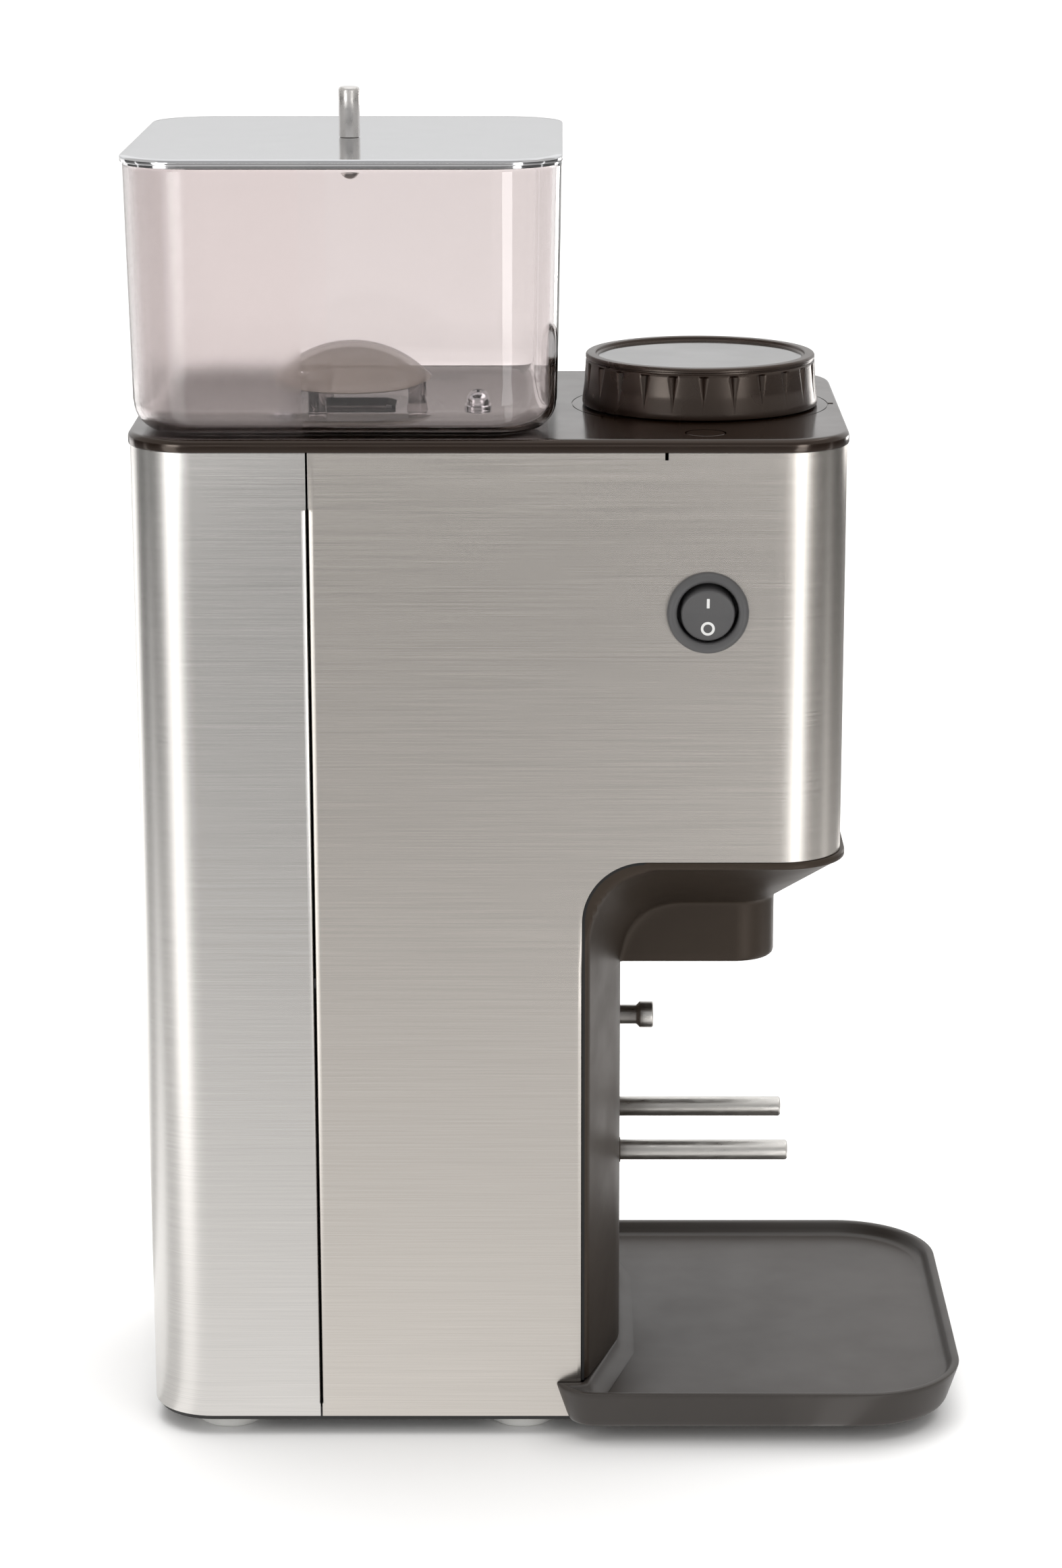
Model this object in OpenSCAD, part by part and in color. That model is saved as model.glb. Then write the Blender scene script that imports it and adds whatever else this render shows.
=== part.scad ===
// Burr coffee grinder with a bean hopper, a grind knob, a holder fork and a slide-out tray.
// Millimetres. +X is the front, +Z is up. The origin is on the floor, below the middle
// of the whole object.

/* [Body] */
// Length of the whole object, from the back of the hopper lid to the front of the tray
total_l = 240; // [238:1:244]
// Length of the steel body at the head, back to front
body_l = 201; // [199:1:202]
// Width of the steel body
body_w = 125.6; // [125:0.1:127]
// Radius of the body's upright corners
corner_r = 18.5; // [17:0.5:20]
// Thickness of the steel sheet
sheet = 1; // [0.8:0.1:1.1]
// Height of the steel's lower edge above the floor
body_z0 = 6.2; // [6:0.1:6.6]
// Height of the steel's upper edge
body_z1 = 292.5; // [292:0.1:293]
// Length of the column below the head
column_l = 126.7; // [126:0.1:127.5]
// Height of the head's lower edge
head_z = 175.3; // [174:0.1:177]
// Radius of the inner corner between the column and the head
cut_r = 18; // [16:1:19]
// Distance from the body's back to the joint between the two covers
seam_back = 50.3; // [45:0.1:52]

/* [Top cover and knob] */
// Thickness of the top cover
top_t = 3.8; // [3.4:0.1:4]
// How far the top cover stands out past the steel
top_lip = 0.5; // [0.2:0.1:0.5]
// Height of the knob above the top cover
knob_h = 15.1; // [14:0.1:17]
// Radius of the knob at its top
knob_r = 33; // [31:0.5:34]
// Radius of the knob at its skirt
knob_skirt_r = 34.8; // [34:0.1:36]
// Number of grip flutes round the knob
flutes = 24; // [12:1:30]
// Distance from the body's front to the knob's axis
knob_front = 40; // [39.5:0.1:41]

/* [Hopper] */
// Height of the hopper below its lid
hopper_h = 74.1; // [70:0.1:80]
// Width of the hopper at its rim
hopper_w = 128.8; // [127:0.1:129]
// Wall thickness of the hopper
hopper_wall = 2.5; // [2:0.1:3]
// Thickness of the lid
lid_t = 2.4; // [2:0.1:3]
// Height of the lid's pin
lid_pin_h = 14.3; // [12:0.1:18]
// Radius of the hole that the beans fall through
throat_r = 15.5; // [14:0.1:15.5]
// Radius of the guard above the hole
guard_r = 22.7; // [22:0.1:25]
// Radius of the circle that the hopper's screws stand on
hopper_screw_ring = 36.4; // [35:0.1:38]

/* [Front trim] */
// How far the nose stands out in front of the column
nose_depth = 11.5; // [11:0.1:12]
// Half the width of the nose's flat front
nose_half = 31; // [29:0.5:32]
// Wall thickness of the trim
trim_wall = 2.5; // [2:0.1:2.6]
// Height of the outlet block's underside
block_z0 = 136.2; // [134:0.1:138]
// Height of the outlet block's upper edge
block_z1 = 154.5; // [153:0.1:156]
// Length of the outlet block in front of the nose
block_l = 45.3; // [44:0.1:48]

/* [Fork and button] */
// Diameter of the fork rods
rod_d = 6; // [5:0.5:6]
// Length of the rods in front of the nose
rod_l = 50.3; // [40:0.1:60]
// Distance between the rods' axes
rod_pitch = 40; // [36:1:44]
// Height of the rods' axes
rod_z = 74; // [66:1:80]
// Height of the button's axis
button_z = 110.2; // [108:0.1:114]
// Travel of the button
button_travel = 3; // [2:0.1:3]

/* [Switch] */
// Outer diameter of the switch's bezel
bezel_d = 23; // [22:0.5:24]
// Distance from the body's front to the switch's axis
switch_front = 39.3; // [36:0.1:42]
// Height of the switch's axis
switch_z = 247.6; // [240:0.1:252]
// Angle that the rocker turns through between off and on
rocker_swing = 22; // [16:1:22]

/* [Tray] */
// Length of the tray
tray_l = 120.6; // [120:0.1:122]
// Width of the tray
tray_w = 145; // [142:0.5:148]
// Height of the tray's rim
tray_rim = 17; // [16.5:0.1:17]
// Height of the dish's floor
dish_z = 13.3; // [13:0.1:14]
// Height of the tray's underside
tray_z0 = 5.3; // [5:0.1:6]
// How much narrower each side is at the bottom
tray_taper = 3.3; // [2:0.1:4]

/* [Gears] */
// Teeth on the knob gear and on the burr carrier
ring_teeth = 48; // [48:1:48]
// Teeth on the idler gear between them
idler_teeth = 32; // [32:1:32]
// Teeth on the motor's pinion and on the lay gear's pinion
pinion_teeth = 14; // [14:1:14]
// Teeth on the lay gear and on the output gear
wheel_teeth = 42; // [42:1:42]

/* [Hidden] */
$fn = 48;
HULL_FN = 32;

STEEL = [0.72, 0.70, 0.67];
ZINC = [0.62, 0.63, 0.65];
BROWN = [0.17, 0.14, 0.12];
TRIM_BROWN = [0.24, 0.21, 0.19];
BLACK = [0.08, 0.08, 0.08];
SMOKE = [0.80, 0.74, 0.73, 0.45];
LID_GREY = [0.82, 0.83, 0.84];
MILK = [0.90, 0.90, 0.88];
BRASS = [0.75, 0.62, 0.32];
BOARD = [0.10, 0.35, 0.20];

// Body
FAR = 500;
half_w = body_w / 2;
rear_x = -total_l / 2 + 0.5;
front_x = rear_x + body_l;
col_x = rear_x + column_l;
seam_x = rear_x + seam_back;
seam_gap = 0.6;
hem_w = 5;
burr_x = rear_x + 60.3;
knob_x = front_x - knob_front;
inside_gap = 0.3;

// Base
plate_z0 = 4.6;
plate_z1 = 8.6;
foot_r = 10;
foot_y = 47.5;
foot_rear_x = rear_x + 22.6;
foot_front_x = rear_x + 109.2;
foot_pocket_z = body_z0;
screw_r = 1.75;
screw_hole_r = 1.9;

// Cord inlet
gland_z = 24;
gland_bore_r = 3.4;
gland_body_r = 6;
gland_flange_r = 8;
gland_l = 10;
thread_gap = 0.1;

// Motor, from the chassis plate down
chassis_z0 = 134;
chassis_z1 = 137;
chassis_half = 50;
post_r = 4;
post_reach = 42;
post_reach_y = 31;
motor_screw_reach = 20;
motor_r = 35;
motor_wall = 1.8;
motor_z0 = 38;
cap_z0 = 30;
motor_boss_r = 8;
motor_boss_z = 139;
motor_shaft_r = 4;
rotor_r = 22;
magnet_r = 24;
commutator_r = 11;
brush_z0 = 42;
brush_z1 = 50;
run_gap = 0.05;

// Reduction gears, module 1
wheel_module = 1;
lay_y = wheel_module * (pinion_teeth + wheel_teeth) / 2;
lay_shaft_r = 3;
stage1_z0 = 140;
stage1_z1 = 149;
stage2_z0 = 152;
stage2_z1 = 162;
gearbox_r = 25.5;
gearbox_wall = 2.5;
gearbox_z1 = 165;
gearbox_lid_z1 = 169;
shaft_r = 5;
bearing_r = 11;
bearing_h = 7;
lower_bearing_z = 167;

// Grinding chamber
chamber_z0 = 236;
chamber_floor = 244;
chamber_z1 = 280;
chamber_r = 32;
chamber_post_reach = 30;
chamber_arm_l = chamber_post_reach * sqrt(2);
chamber_arm_w = 6;
chamber_arm_t = 4;
chamber_post_r = 3.5;
sweep_r = 24.8;
sweep_space_r = 25.6;
carrier_r = 27;
carrier_z0 = 257;
burr_seat_z = 274;
burr_outer_r = 24;
burr_teeth = 24;
port_half_w = 8;
port_z1 = 256;

// Adjusting gears
adjust_module = (knob_x - burr_x) / (ring_teeth + idler_teeth);
idler_x = (burr_x + knob_x) / 2;
adjust_z0 = 281.5;
adjust_z1 = 289.5;
idler_pin_r = 4;
knob_shaft_r = 6;
pressure_angle = 20;
addendum = 0.9;
dedendum = 1.2;
backlash = 0.24;

// Top cover
top_z = body_z1 + top_t;
spigot_r = 22;
seal_r0 = 24;
seal_r1 = 27;
seal_t = 1.6;
plug_r = 5.5;
plug_y = -51.3;

// Hopper
hopper_x0 = -total_l / 2 + 0.3;
hopper_x1 = hopper_x0 + 121.2;
hopper_z1 = top_z + hopper_h;
hopper_floor_t = 2.2;
hopper_corner_r = 17;
hopper_taper = 1.4;
hopper_edge = 7;
lid_x1 = 1.7;
lid_half_w = 65;
lid_gap = 0.1;
lid_mid_x = (lid_x1 - total_l / 2) / 2;
lid_pin_r = 3;
lid_nut_r = 2.9;
lid_nut_h = 9.5;
guard_rise = 6;
guard_h = 10.2;
guard_t = 2;
guard_post_r = 2.75;
guard_post_ring = 18.7;

// Front trim
flange_x = col_x + 0.4;
flange_half = half_w - 0.5;
trim_z0 = tray_rim + 0.4;
nose_x = col_x + nose_depth;
skirt_inset = 3.4;
lip_z1 = head_z - 0.2;
lip_t = 1.9;
lip_x1 = front_x + 1.3;
lip_half = half_w + 0.2;
lip_r = 19;
lip_wall = 5.1;
block_half = nose_half + 0.3;
block_r = 12;
block_x1 = nose_x + block_l;
outlet_r = 13.3;

// Chute
chute_r = 12;
chute_bore_r = 10;
spout_r = 13;
spout_bore_r = 11;
chute_top = [burr_x + chamber_r + 4, 0, 250];
chute_bend = [knob_x, 0, 172];
spout_z0 = block_z0 + 0.8;

// Fork and button
rod_r = rod_d / 2;
stud_r = rod_r - 0.5;
stud_gap = 0.1;
bracket_t = 3;
nut_t = 5;
nut_r = 4.6;
rod_x0 = nose_x - trim_wall - bracket_t - nut_t - 3;
rod_x1 = nose_x + rod_l;
button_stem_r = 2.9;
button_head_r = 4;
button_x0 = nose_x - 18.7;
button_x1 = nose_x + 10.4;
button_head_l = 3.9;
button_flange_x = nose_x - 4.5;
guide_x = nose_x - 15.7;
guide_t = 2;
guide_half = 14;
// The plunger of the switch, which the pressed button just reaches
micro_x = button_x0 - button_travel - 0.5;
spring_x0 = guide_x + guide_t + 0.1;
spring_x1 = button_flange_x - 0.1;
spring_turns = 5;
spring_wire = 0.7;
spring_r = 4.2;

// Switch
switch_x = front_x - switch_front;
bezel_t = 2;
bezel_bore_r = 8.65;
switch_body_r = 10;
switch_body_l = 19;
rocker_r = 7.6;
rocker_t = 8;
rocker_pivot_z = -1.6;
rocker_pin_r = 1.5;

// Tray
tray_x0 = total_l / 2 - tray_l;
tray_x1 = total_l / 2;
tray_front_r = 30;
tray_rear_r = 12;
tray_wall = 2.4;

// Outlines: points and offsets

function unit(v) = v / norm(v);
function left_normal(a, b) = let (u = unit(b - a)) [-u[1], u[0]];
function mitred(a, p, b, d) = let (m = left_normal(a, p), n = left_normal(p, b))
    p + (m + n) * d / (1 + m * n);
// An anticlockwise outline moved inward by d, with mitred corners
function inset(points, d) = let (n = len(points))
    [for (i = [0 : n - 1]) mitred(points[(i + n - 1) % n], points[i], points[(i + 1) % n], d)];

// The nose in plan, closed at the back by a straight edge at x = back
function nose_outline(back) = [[back, -flange_half], [flange_x, -flange_half],
    [flange_x + 3.4, -flange_half + 1.7], [nose_x, -nose_half], [nose_x, nose_half],
    [flange_x + 3.4, flange_half - 1.7], [flange_x, flange_half], [back, flange_half]];

// Involute gear teeth. The angles are degrees from the tooth's middle.
function involute_angle(base_r, r) = let (a = acos(base_r / r)) tan(a) * 180 / PI - a;
function flank_angle(teeth, module_size, r) = let (pitch_r = module_size * teeth / 2,
    base_r = pitch_r * cos(pressure_angle))
    (PI * module_size / 2 - backlash / 2) / pitch_r * 90 / PI
    + involute_angle(base_r, pitch_r) - involute_angle(base_r, max(r, base_r));
function polar(r, a) = [r * cos(a), r * sin(a)];
function gear_points(teeth, module_size) = let (pitch_r = module_size * teeth / 2,
    base_r = pitch_r * cos(pressure_angle),
    root_r = pitch_r - dedendum * module_size,
    tip_r = pitch_r + addendum * module_size,
    start_r = max(root_r + 0.05, base_r),
    radii = [root_r, start_r, (start_r + tip_r) / 2, tip_r],
    half = [for (r = radii) flank_angle(teeth, module_size, r)])
    [for (t = [0 : teeth - 1]) let (mid = t * 360 / teeth)
        each concat([for (k = [0 : 3]) polar(radii[k], mid - half[k])],
            [for (k = [3 : -1 : 0]) polar(radii[k], mid + half[k])])];

// Basic shapes

module disc(r, z0, z1) {
    translate([0, 0, z0]) cylinder(r = r, h = z1 - z0);
}

module ring(r, bore, z0, z1) {
    translate([0, 0, z0]) linear_extrude(z1 - z0) difference() {
        circle(r);
        circle(bore);
    }
}

module cone(r0, r1, z0, z1) {
    translate([0, 0, z0]) cylinder(r1 = r0, r2 = r1, h = z1 - z0);
}

module slab(x0, x1, y0, y1, z0, z1) {
    translate([x0, y0, z0]) cube([x1 - x0, y1 - y0, z1 - z0]);
}

module along_x(x0, y, z) {
    translate([x0, y, z]) rotate([0, 90, 0]) children();
}

module at_burr() {
    translate([burr_x, 0, 0]) children();
}

module at_knob() {
    translate([knob_x, 0, 0]) children();
}

module four_at(reach_x, reach_y) {
    for (sx = [-1, 1], sy = [-1, 1]) translate([sx * reach_x, sy * reach_y, 0]) children();
}

// A rectangle with its own radius at the rear and front corners
module plan(x0, x1, half, rear_r, front_r) {
    translate([x0 + rear_r, -half]) square([x1 - x0 - rear_r - front_r, 2 * half]);
    translate([x0, -half + rear_r]) square([rear_r, 2 * (half - rear_r)]);
    translate([x1 - front_r, -half + front_r]) square([front_r, 2 * (half - front_r)]);
    for (s = [-1, 1]) {
        translate([x0 + rear_r, s * (half - rear_r)]) circle(rear_r);
        translate([x1 - front_r, s * (half - front_r)]) circle(front_r);
    }
}

module body_plan(d) {
    plan(rear_x + d, front_x - d, half_w - d, corner_r - d, corner_r - d);
}

// A thin layer of a hull
module layer(z, h) {
    translate([0, 0, z]) linear_extrude(h) children();
}

module gear(teeth, module_size, z0, z1) {
    layer(z0, z1 - z0) polygon(gear_points(teeth, module_size));
}

// A pan-head screw standing on its seat, shank downward
module screw(head_r, head_h, shank, shank_l) {
    difference() {
        union() {
            cylinder(r = head_r, h = head_h * 0.6);
            translate([0, 0, head_h * 0.6]) cylinder(r1 = head_r, r2 = head_r * 0.6, h = head_h * 0.4);
            translate([0, 0, -shank_l]) cylinder(r = shank, h = shank_l);
        }
        for (a = [0, 90]) rotate(a) slab(-head_r * 0.55, head_r * 0.55, -0.4, 0.4, head_h * 0.5, head_h + 1);
    }
}

// Covers

module cover_shell() {
    layer(body_z0, body_z1 - body_z0) difference() {
        body_plan(0);
        body_plan(sheet);
    }
}

// The folded edge inside a cover, beside the seam
module hem(x0, x1, z0) {
    for (s = [-1, 1]) {
        y = s * (half_w - 1.5 * sheet);
        slab(x0, x1, y - sheet / 2, y + sheet / 2, z0, body_z1 - 6);
    }
}

// The bay in front of the column and below the head
module bay() {
    slab(col_x, FAR, -FAR, FAR, -1, head_z - cut_r);
    slab(col_x + cut_r, FAR, -FAR, FAR, -1, head_z);
    translate([col_x + cut_r, FAR, head_z - cut_r]) rotate([90, 0, 0]) cylinder(r = cut_r, h = 2 * FAR);
}

module rear_cover() {
    color(STEEL) difference() {
        union() {
            intersection() {
                cover_shell();
                slab(-FAR, seam_x - seam_gap / 2, -FAR, FAR, 0, FAR);
            }
            hem(seam_x - seam_gap / 2 - hem_w, seam_x - seam_gap / 2, body_z0 + 4);
        }
        along_x(rear_x - 1, 0, gland_z) cylinder(r = gland_body_r + thread_gap, h = 4);
    }
}

module front_cover() {
    color(STEEL) difference() {
        union() {
            intersection() {
                cover_shell();
                slab(seam_x + seam_gap / 2, FAR, -FAR, FAR, 0, FAR);
            }
            hem(seam_x + seam_gap / 2, seam_x + seam_gap / 2 + hem_w, body_z0 + 4);
        }
        bay();
        translate([switch_x, 0, switch_z]) rotate([90, 0, 0]) cylinder(r = switch_body_r + 0.1, h = FAR);
        slab(switch_x - 12.2, switch_x - 11.2, -FAR, 0, body_z1 - 2, FAR);
    }
}

module top_cover() {
    color(BROWN) difference() {
        union() {
            layer(body_z1, top_t) body_plan(-top_lip);
            layer(body_z1 - 4, 4.1) difference() {
                body_plan(sheet + inside_gap);
                body_plan(sheet + inside_gap + 2);
            }
            translate([idler_x, 0, 0]) disc(7, adjust_z1 + 0.5, body_z1 + 0.1);
            at_knob() disc(10, adjust_z1 + 0.5, body_z1 + 0.1);
        }
        at_burr() {
            disc(spigot_r + 0.3, adjust_z1, FAR);
            disc(seal_r1 + 0.1, top_z - seal_t, FAR);
            hopper_screw_places() disc(screw_hole_r, adjust_z1, FAR);
        }
        at_knob() disc(knob_shaft_r + run_gap, adjust_z1, FAR);
        translate([idler_x, 0, 0]) disc(2.5 + thread_gap, adjust_z1, body_z1 + 2);
        translate([knob_x, plug_y, 0]) {
            disc(plug_r + 0.1, top_z - 1.6, FAR);
            disc(2.1, adjust_z1, FAR);
        }
    }
}

module index_plug() {
    color(BROWN) translate([knob_x, plug_y, 0]) {
        disc(plug_r, top_z - 1.5, top_z);
        disc(2, body_z1 - 2, top_z - 1);
    }
}

// Base

module foot_places() {
    for (x = [foot_rear_x, foot_front_x], s = [-1, 1]) translate([x, s * foot_y, 0]) children();
}

module base_plate() {
    color(BLACK) difference() {
        union() {
            layer(plate_z0, plate_z1 - plate_z0) intersection() {
                union() {
                    body_plan(sheet + inside_gap);
                    polygon(inset(nose_outline(0), skirt_inset));
                }
                translate([-FAR, -FAR]) square([FAR + nose_x, 2 * FAR]);
            }
            foot_places() disc(foot_r + 2, plate_z0, plate_z1 + 4);
        }
        difference() {
            slab(col_x - 0.6, FAR, -FAR, FAR, 0, FAR);
            layer(0, FAR) polygon(inset(nose_outline(0), skirt_inset));
        }
        foot_places() disc(foot_r + 0.1, 0, foot_pocket_z);
        foot_places() disc(screw_hole_r, 0, plate_z1 + 2);
        at_burr() four_at(post_reach, post_reach_y) disc(screw_hole_r, 0, FAR);
    }
}

module foot(x, s) {
    color(MILK) translate([x, s * foot_y, 0]) difference() {
        union() {
            disc(foot_r - 0.6, 0, 0.6);
            disc(foot_r, 0.6, foot_pocket_z);
        }
        disc(4, -1, 3);
        disc(screw_hole_r, -1, 10);
    }
}

module foot_rear_left() {
    foot(foot_rear_x, 1);
}

module foot_rear_right() {
    foot(foot_rear_x, -1);
}

module foot_front_left() {
    foot(foot_front_x, 1);
}

module foot_front_right() {
    foot(foot_front_x, -1);
}

// Cord inlet and wiring

module cord_gland() {
    color(BLACK) difference() {
        union() {
            along_x(rear_x - 0.5, 0, gland_z) cylinder(r = gland_flange_r, h = 0.5);
            along_x(rear_x - 0.5, 0, gland_z) cylinder(r = gland_body_r, h = gland_l);
        }
        along_x(rear_x - 1, 0, gland_z) cylinder(r = gland_bore_r, h = gland_l + 2);
    }
}

module gland_nut() {
    color(BLACK) along_x(rear_x + sheet, 0, gland_z) difference() {
        cylinder(r = 9.2, h = 4, $fn = 6);
        translate([0, 0, -1]) cylinder(r = gland_body_r + thread_gap, h = 6);
    }
}

module terminal_block() {
    color(MILK) difference() {
        slab(rear_x + 14, rear_x + 28, -16, 16, plate_z1, plate_z1 + 12);
        for (i = [-1 : 1]) {
            along_x(rear_x + 13, i * 10, plate_z1 + 5) cylinder(r = 2.2, h = 20);
            translate([rear_x + 21, i * 10, 0]) disc(1.8, plate_z1 + 5, plate_z1 + 13);
        }
    }
}

module control_board() {
    y0 = half_w - 8.8;
    color(BOARD) slab(burr_x - 46, burr_x + 46, y0, y0 + 1.6, 24, 112);
    color(BLACK) {
        slab(burr_x - 30, burr_x - 10, y0 - 7, y0, 60, 84);
        slab(burr_x + 2, burr_x + 14, y0 - 5, y0, 34, 50);
        slab(burr_x + 20, burr_x + 30, y0 - 6, y0, 90, 104);
    }
    color(MILK) translate([burr_x + 22, y0, 62]) rotate([90, 0, 0]) cylinder(r = 6, h = 7);
}

// Chassis and motor

module chassis_posts() {
    color(ZINC) at_burr() four_at(post_reach, post_reach_y) ring(post_r, 1.7, plate_z1, chassis_z0);
}

module chassis_plate() {
    color(ZINC) at_burr() difference() {
        slab(-chassis_half, chassis_half, -chassis_half, chassis_half, chassis_z0, chassis_z1);
        disc(motor_boss_r + 0.1, 0, FAR);
        four_at(post_reach, post_reach_y) disc(screw_hole_r, 0, FAR);
        four_at(motor_screw_reach, motor_screw_reach) disc(screw_hole_r, 0, FAR);
        translate([0, lay_y, 0]) disc(lay_shaft_r + run_gap, 0, FAR);
    }
}

// The pan-head screws of the feet and of the chassis
module frame_screws() {
    color(ZINC) {
        foot_places() translate([0, 0, 3]) rotate([180, 0, 0]) screw(3.4, 2, screw_r, 7);
        at_burr() four_at(post_reach, post_reach_y) {
            translate([0, 0, chassis_z1]) screw(3.4, 2, 1.6, 11);
            translate([0, 0, plate_z0]) rotate([180, 0, 0]) screw(3.4, 2, 1.6, 12);
        }
    }
}

module motor_can() {
    color(ZINC) at_burr() difference() {
        union() {
            disc(motor_r, motor_z0, chassis_z0);
            disc(motor_boss_r, chassis_z0 - 1, motor_boss_z);
        }
        disc(motor_r - motor_wall, motor_z0 - 1, chassis_z0 - 2);
        disc(motor_shaft_r + run_gap, 0, FAR);
    }
}

module motor_end_cap() {
    color(BLACK) at_burr() difference() {
        union() {
            disc(motor_r, cap_z0 + 4, motor_z0);
            disc(12, cap_z0, motor_z0);
            for (a = [45 : 90 : 315]) rotate(a) slab(10, motor_r - 2, -2, 2, cap_z0 + 1, motor_z0);
            for (a = [0, 180]) rotate(a) slab(commutator_r + 2, 23, -5, 5, motor_z0 - 1, brush_z1 + 2);
        }
        for (a = [0, 180]) rotate(a) slab(commutator_r, 21.1, -3.1, 3.1, brush_z0 - 0.1, brush_z1 + 0.1);
        disc(motor_shaft_r + run_gap, cap_z0 + 2, FAR);
        for (a = [90, 270]) rotate(a) translate([24, 0, 0]) disc(5, 0, FAR);
    }
}

module motor_magnets() {
    color(BLACK) at_burr() intersection() {
        ring(motor_r - motor_wall - 0.1, magnet_r, 54, 126);
        for (s = [-1, 1]) slab(-FAR, FAR, min(s * 8, s * FAR), max(s * 8, s * FAR), 0, FAR);
    }
}

module motor_brushes() {
    color(BLACK) at_burr() for (a = [0, 180]) rotate(a) slab(commutator_r + 0.4, 21, -3, 3, brush_z0, brush_z1);
}

module motor_rotor() {
    color(BRASS) at_burr() difference() {
        union() {
            disc(motor_shaft_r, cap_z0 + 3, stage1_z1 + 0.5);
            disc(commutator_r, 41, 52);
            disc(rotor_r, 58, 122);
            rotate(90) gear(pinion_teeth, wheel_module, stage1_z0, stage1_z1 + 0.5);
        }
        for (a = [0 : 30 : 330]) rotate(a) slab(rotor_r - 5, rotor_r + 1, -0.9, 0.9, 57, 123);
    }
}

// Reduction gears

module gearbox_plan(r) {
    circle(r);
    translate([0, lay_y]) circle(r);
    translate([-r, 0]) square([2 * r, lay_y]);
}

module gearbox_housing() {
    color(BLACK) at_burr() layer(chassis_z1, gearbox_z1 - chassis_z1) difference() {
        gearbox_plan(gearbox_r);
        gearbox_plan(gearbox_r - gearbox_wall);
    }
}

module gearbox_lid() {
    color(BLACK) at_burr() difference() {
        union() {
            layer(gearbox_z1, gearbox_lid_z1 - gearbox_z1) gearbox_plan(gearbox_r);
            disc(bearing_r + 3, gearbox_z1, lower_bearing_z + bearing_h);
        }
        disc(bearing_r + 0.02, lower_bearing_z, FAR);
        disc(shaft_r + 1, 0, FAR);
        translate([0, lay_y, 0]) disc(lay_shaft_r + run_gap, 0, gearbox_lid_z1 - 2);
    }
}

module lay_shaft() {
    color(ZINC) translate([burr_x, lay_y, 0]) disc(lay_shaft_r, chassis_z0 + 0.5, gearbox_z1 + 1.5);
}

module lay_gear() {
    wheel_turn = 270 + 180 / wheel_teeth;
    color(BRASS) translate([burr_x, lay_y, 0]) difference() {
        union() {
            rotate(wheel_turn) gear(wheel_teeth, wheel_module, stage1_z0, stage1_z1);
            rotate(270) gear(pinion_teeth, wheel_module, stage1_z1, stage2_z1 + 1);
        }
        disc(lay_shaft_r + run_gap, 0, FAR);
    }
}

module output_gear() {
    color(BRASS) at_burr() difference() {
        rotate(90 + 180 / wheel_teeth) gear(wheel_teeth, wheel_module, stage2_z0, stage2_z1);
        disc(shaft_r + run_gap, 0, FAR);
        for (a = [0 : 60 : 300]) rotate(a) translate([12.5, 0, 0]) disc(4, 0, FAR);
    }
}

// Bearings and shaft

module bearing(z) {
    translate([0, 0, z]) difference() {
        cylinder(r = bearing_r, h = bearing_h);
        translate([0, 0, -1]) cylinder(r = shaft_r + run_gap, h = bearing_h + 2);
        for (end = [-1, bearing_h - 0.8]) translate([0, 0, end]) difference() {
            cylinder(r = 9, h = 1.8);
            cylinder(r = 7, h = 1.8);
        }
    }
}

module lower_bearing() {
    color(ZINC) at_burr() bearing(lower_bearing_z);
}

module upper_bearing() {
    color(ZINC) at_burr() bearing(chamber_z0);
}

module drive_shaft() {
    color(ZINC) at_burr() {
        disc(shaft_r, stage2_z0 - 1, 278);
        disc(shaft_r - 1.5, 278, 283);
    }
}

// Grinding chamber and burrs

module chamber_posts() {
    color(ZINC) at_burr() four_at(chamber_post_reach, chamber_post_reach) disc(chamber_post_r, chassis_z1, chamber_z0);
}

module grind_chamber() {
    color(BLACK) at_burr() difference() {
        union() {
            disc(chamber_r, chamber_z0, chamber_z1);
            for (a = [45 : 90 : 315]) rotate(a) {
                slab(0, chamber_arm_l, -chamber_arm_w, chamber_arm_w, chamber_z0, chamber_z0 + chamber_arm_t);
                translate([chamber_arm_l, 0, 0]) disc(chamber_arm_w, chamber_z0, chamber_z0 + chamber_arm_t);
            }
            slab(0, chamber_r + 3, -port_half_w - 2, port_half_w + 2, chamber_z0, port_z1 + 2);
        }
        disc(bearing_r + 0.02, 0, chamber_z0 + bearing_h);
        disc(shaft_r + 1, 0, FAR);
        disc(sweep_space_r, chamber_floor, FAR);
        disc(carrier_r + run_gap, carrier_z0 - 0.5, FAR);
        slab(0, FAR, -port_half_w, port_half_w, chamber_floor, port_z1);
        four_at(chamber_post_reach, chamber_post_reach) disc(screw_hole_r, 0, chamber_z0 + 3);
    }
}

module sweeper() {
    color(BRASS) at_burr() difference() {
        union() {
            disc(18, chamber_floor + 1, 256);
            for (a = [0 : 60 : 300]) rotate(a) slab(0, sweep_r - 0.3, -1.5, 1.5, chamber_floor + 1, 255);
        }
        disc(shaft_r + run_gap, 0, FAR);
    }
}

module lower_burr() {
    color(ZINC) at_burr() difference() {
        cone(18.5, 9, 256, 275);
        disc(shaft_r + run_gap, 0, FAR);
        for (i = [0 : burr_teeth - 1]) rotate(i * 360 / burr_teeth) translate([18.6, 0, 254])
            rotate([14, -26, 0]) rotate(45) slab(-0.9, 0.9, -0.9, 0.9, 0, 30);
    }
}

module burr_nut() {
    color(ZINC) at_burr() difference() {
        cylinder_nut(6.5, 278, 282);
        disc(shaft_r - 1.5 + thread_gap, 0, FAR);
    }
}

module cylinder_nut(r, z0, z1) {
    translate([0, 0, z0]) cylinder(r = r, h = z1 - z0, $fn = 6);
}

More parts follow.
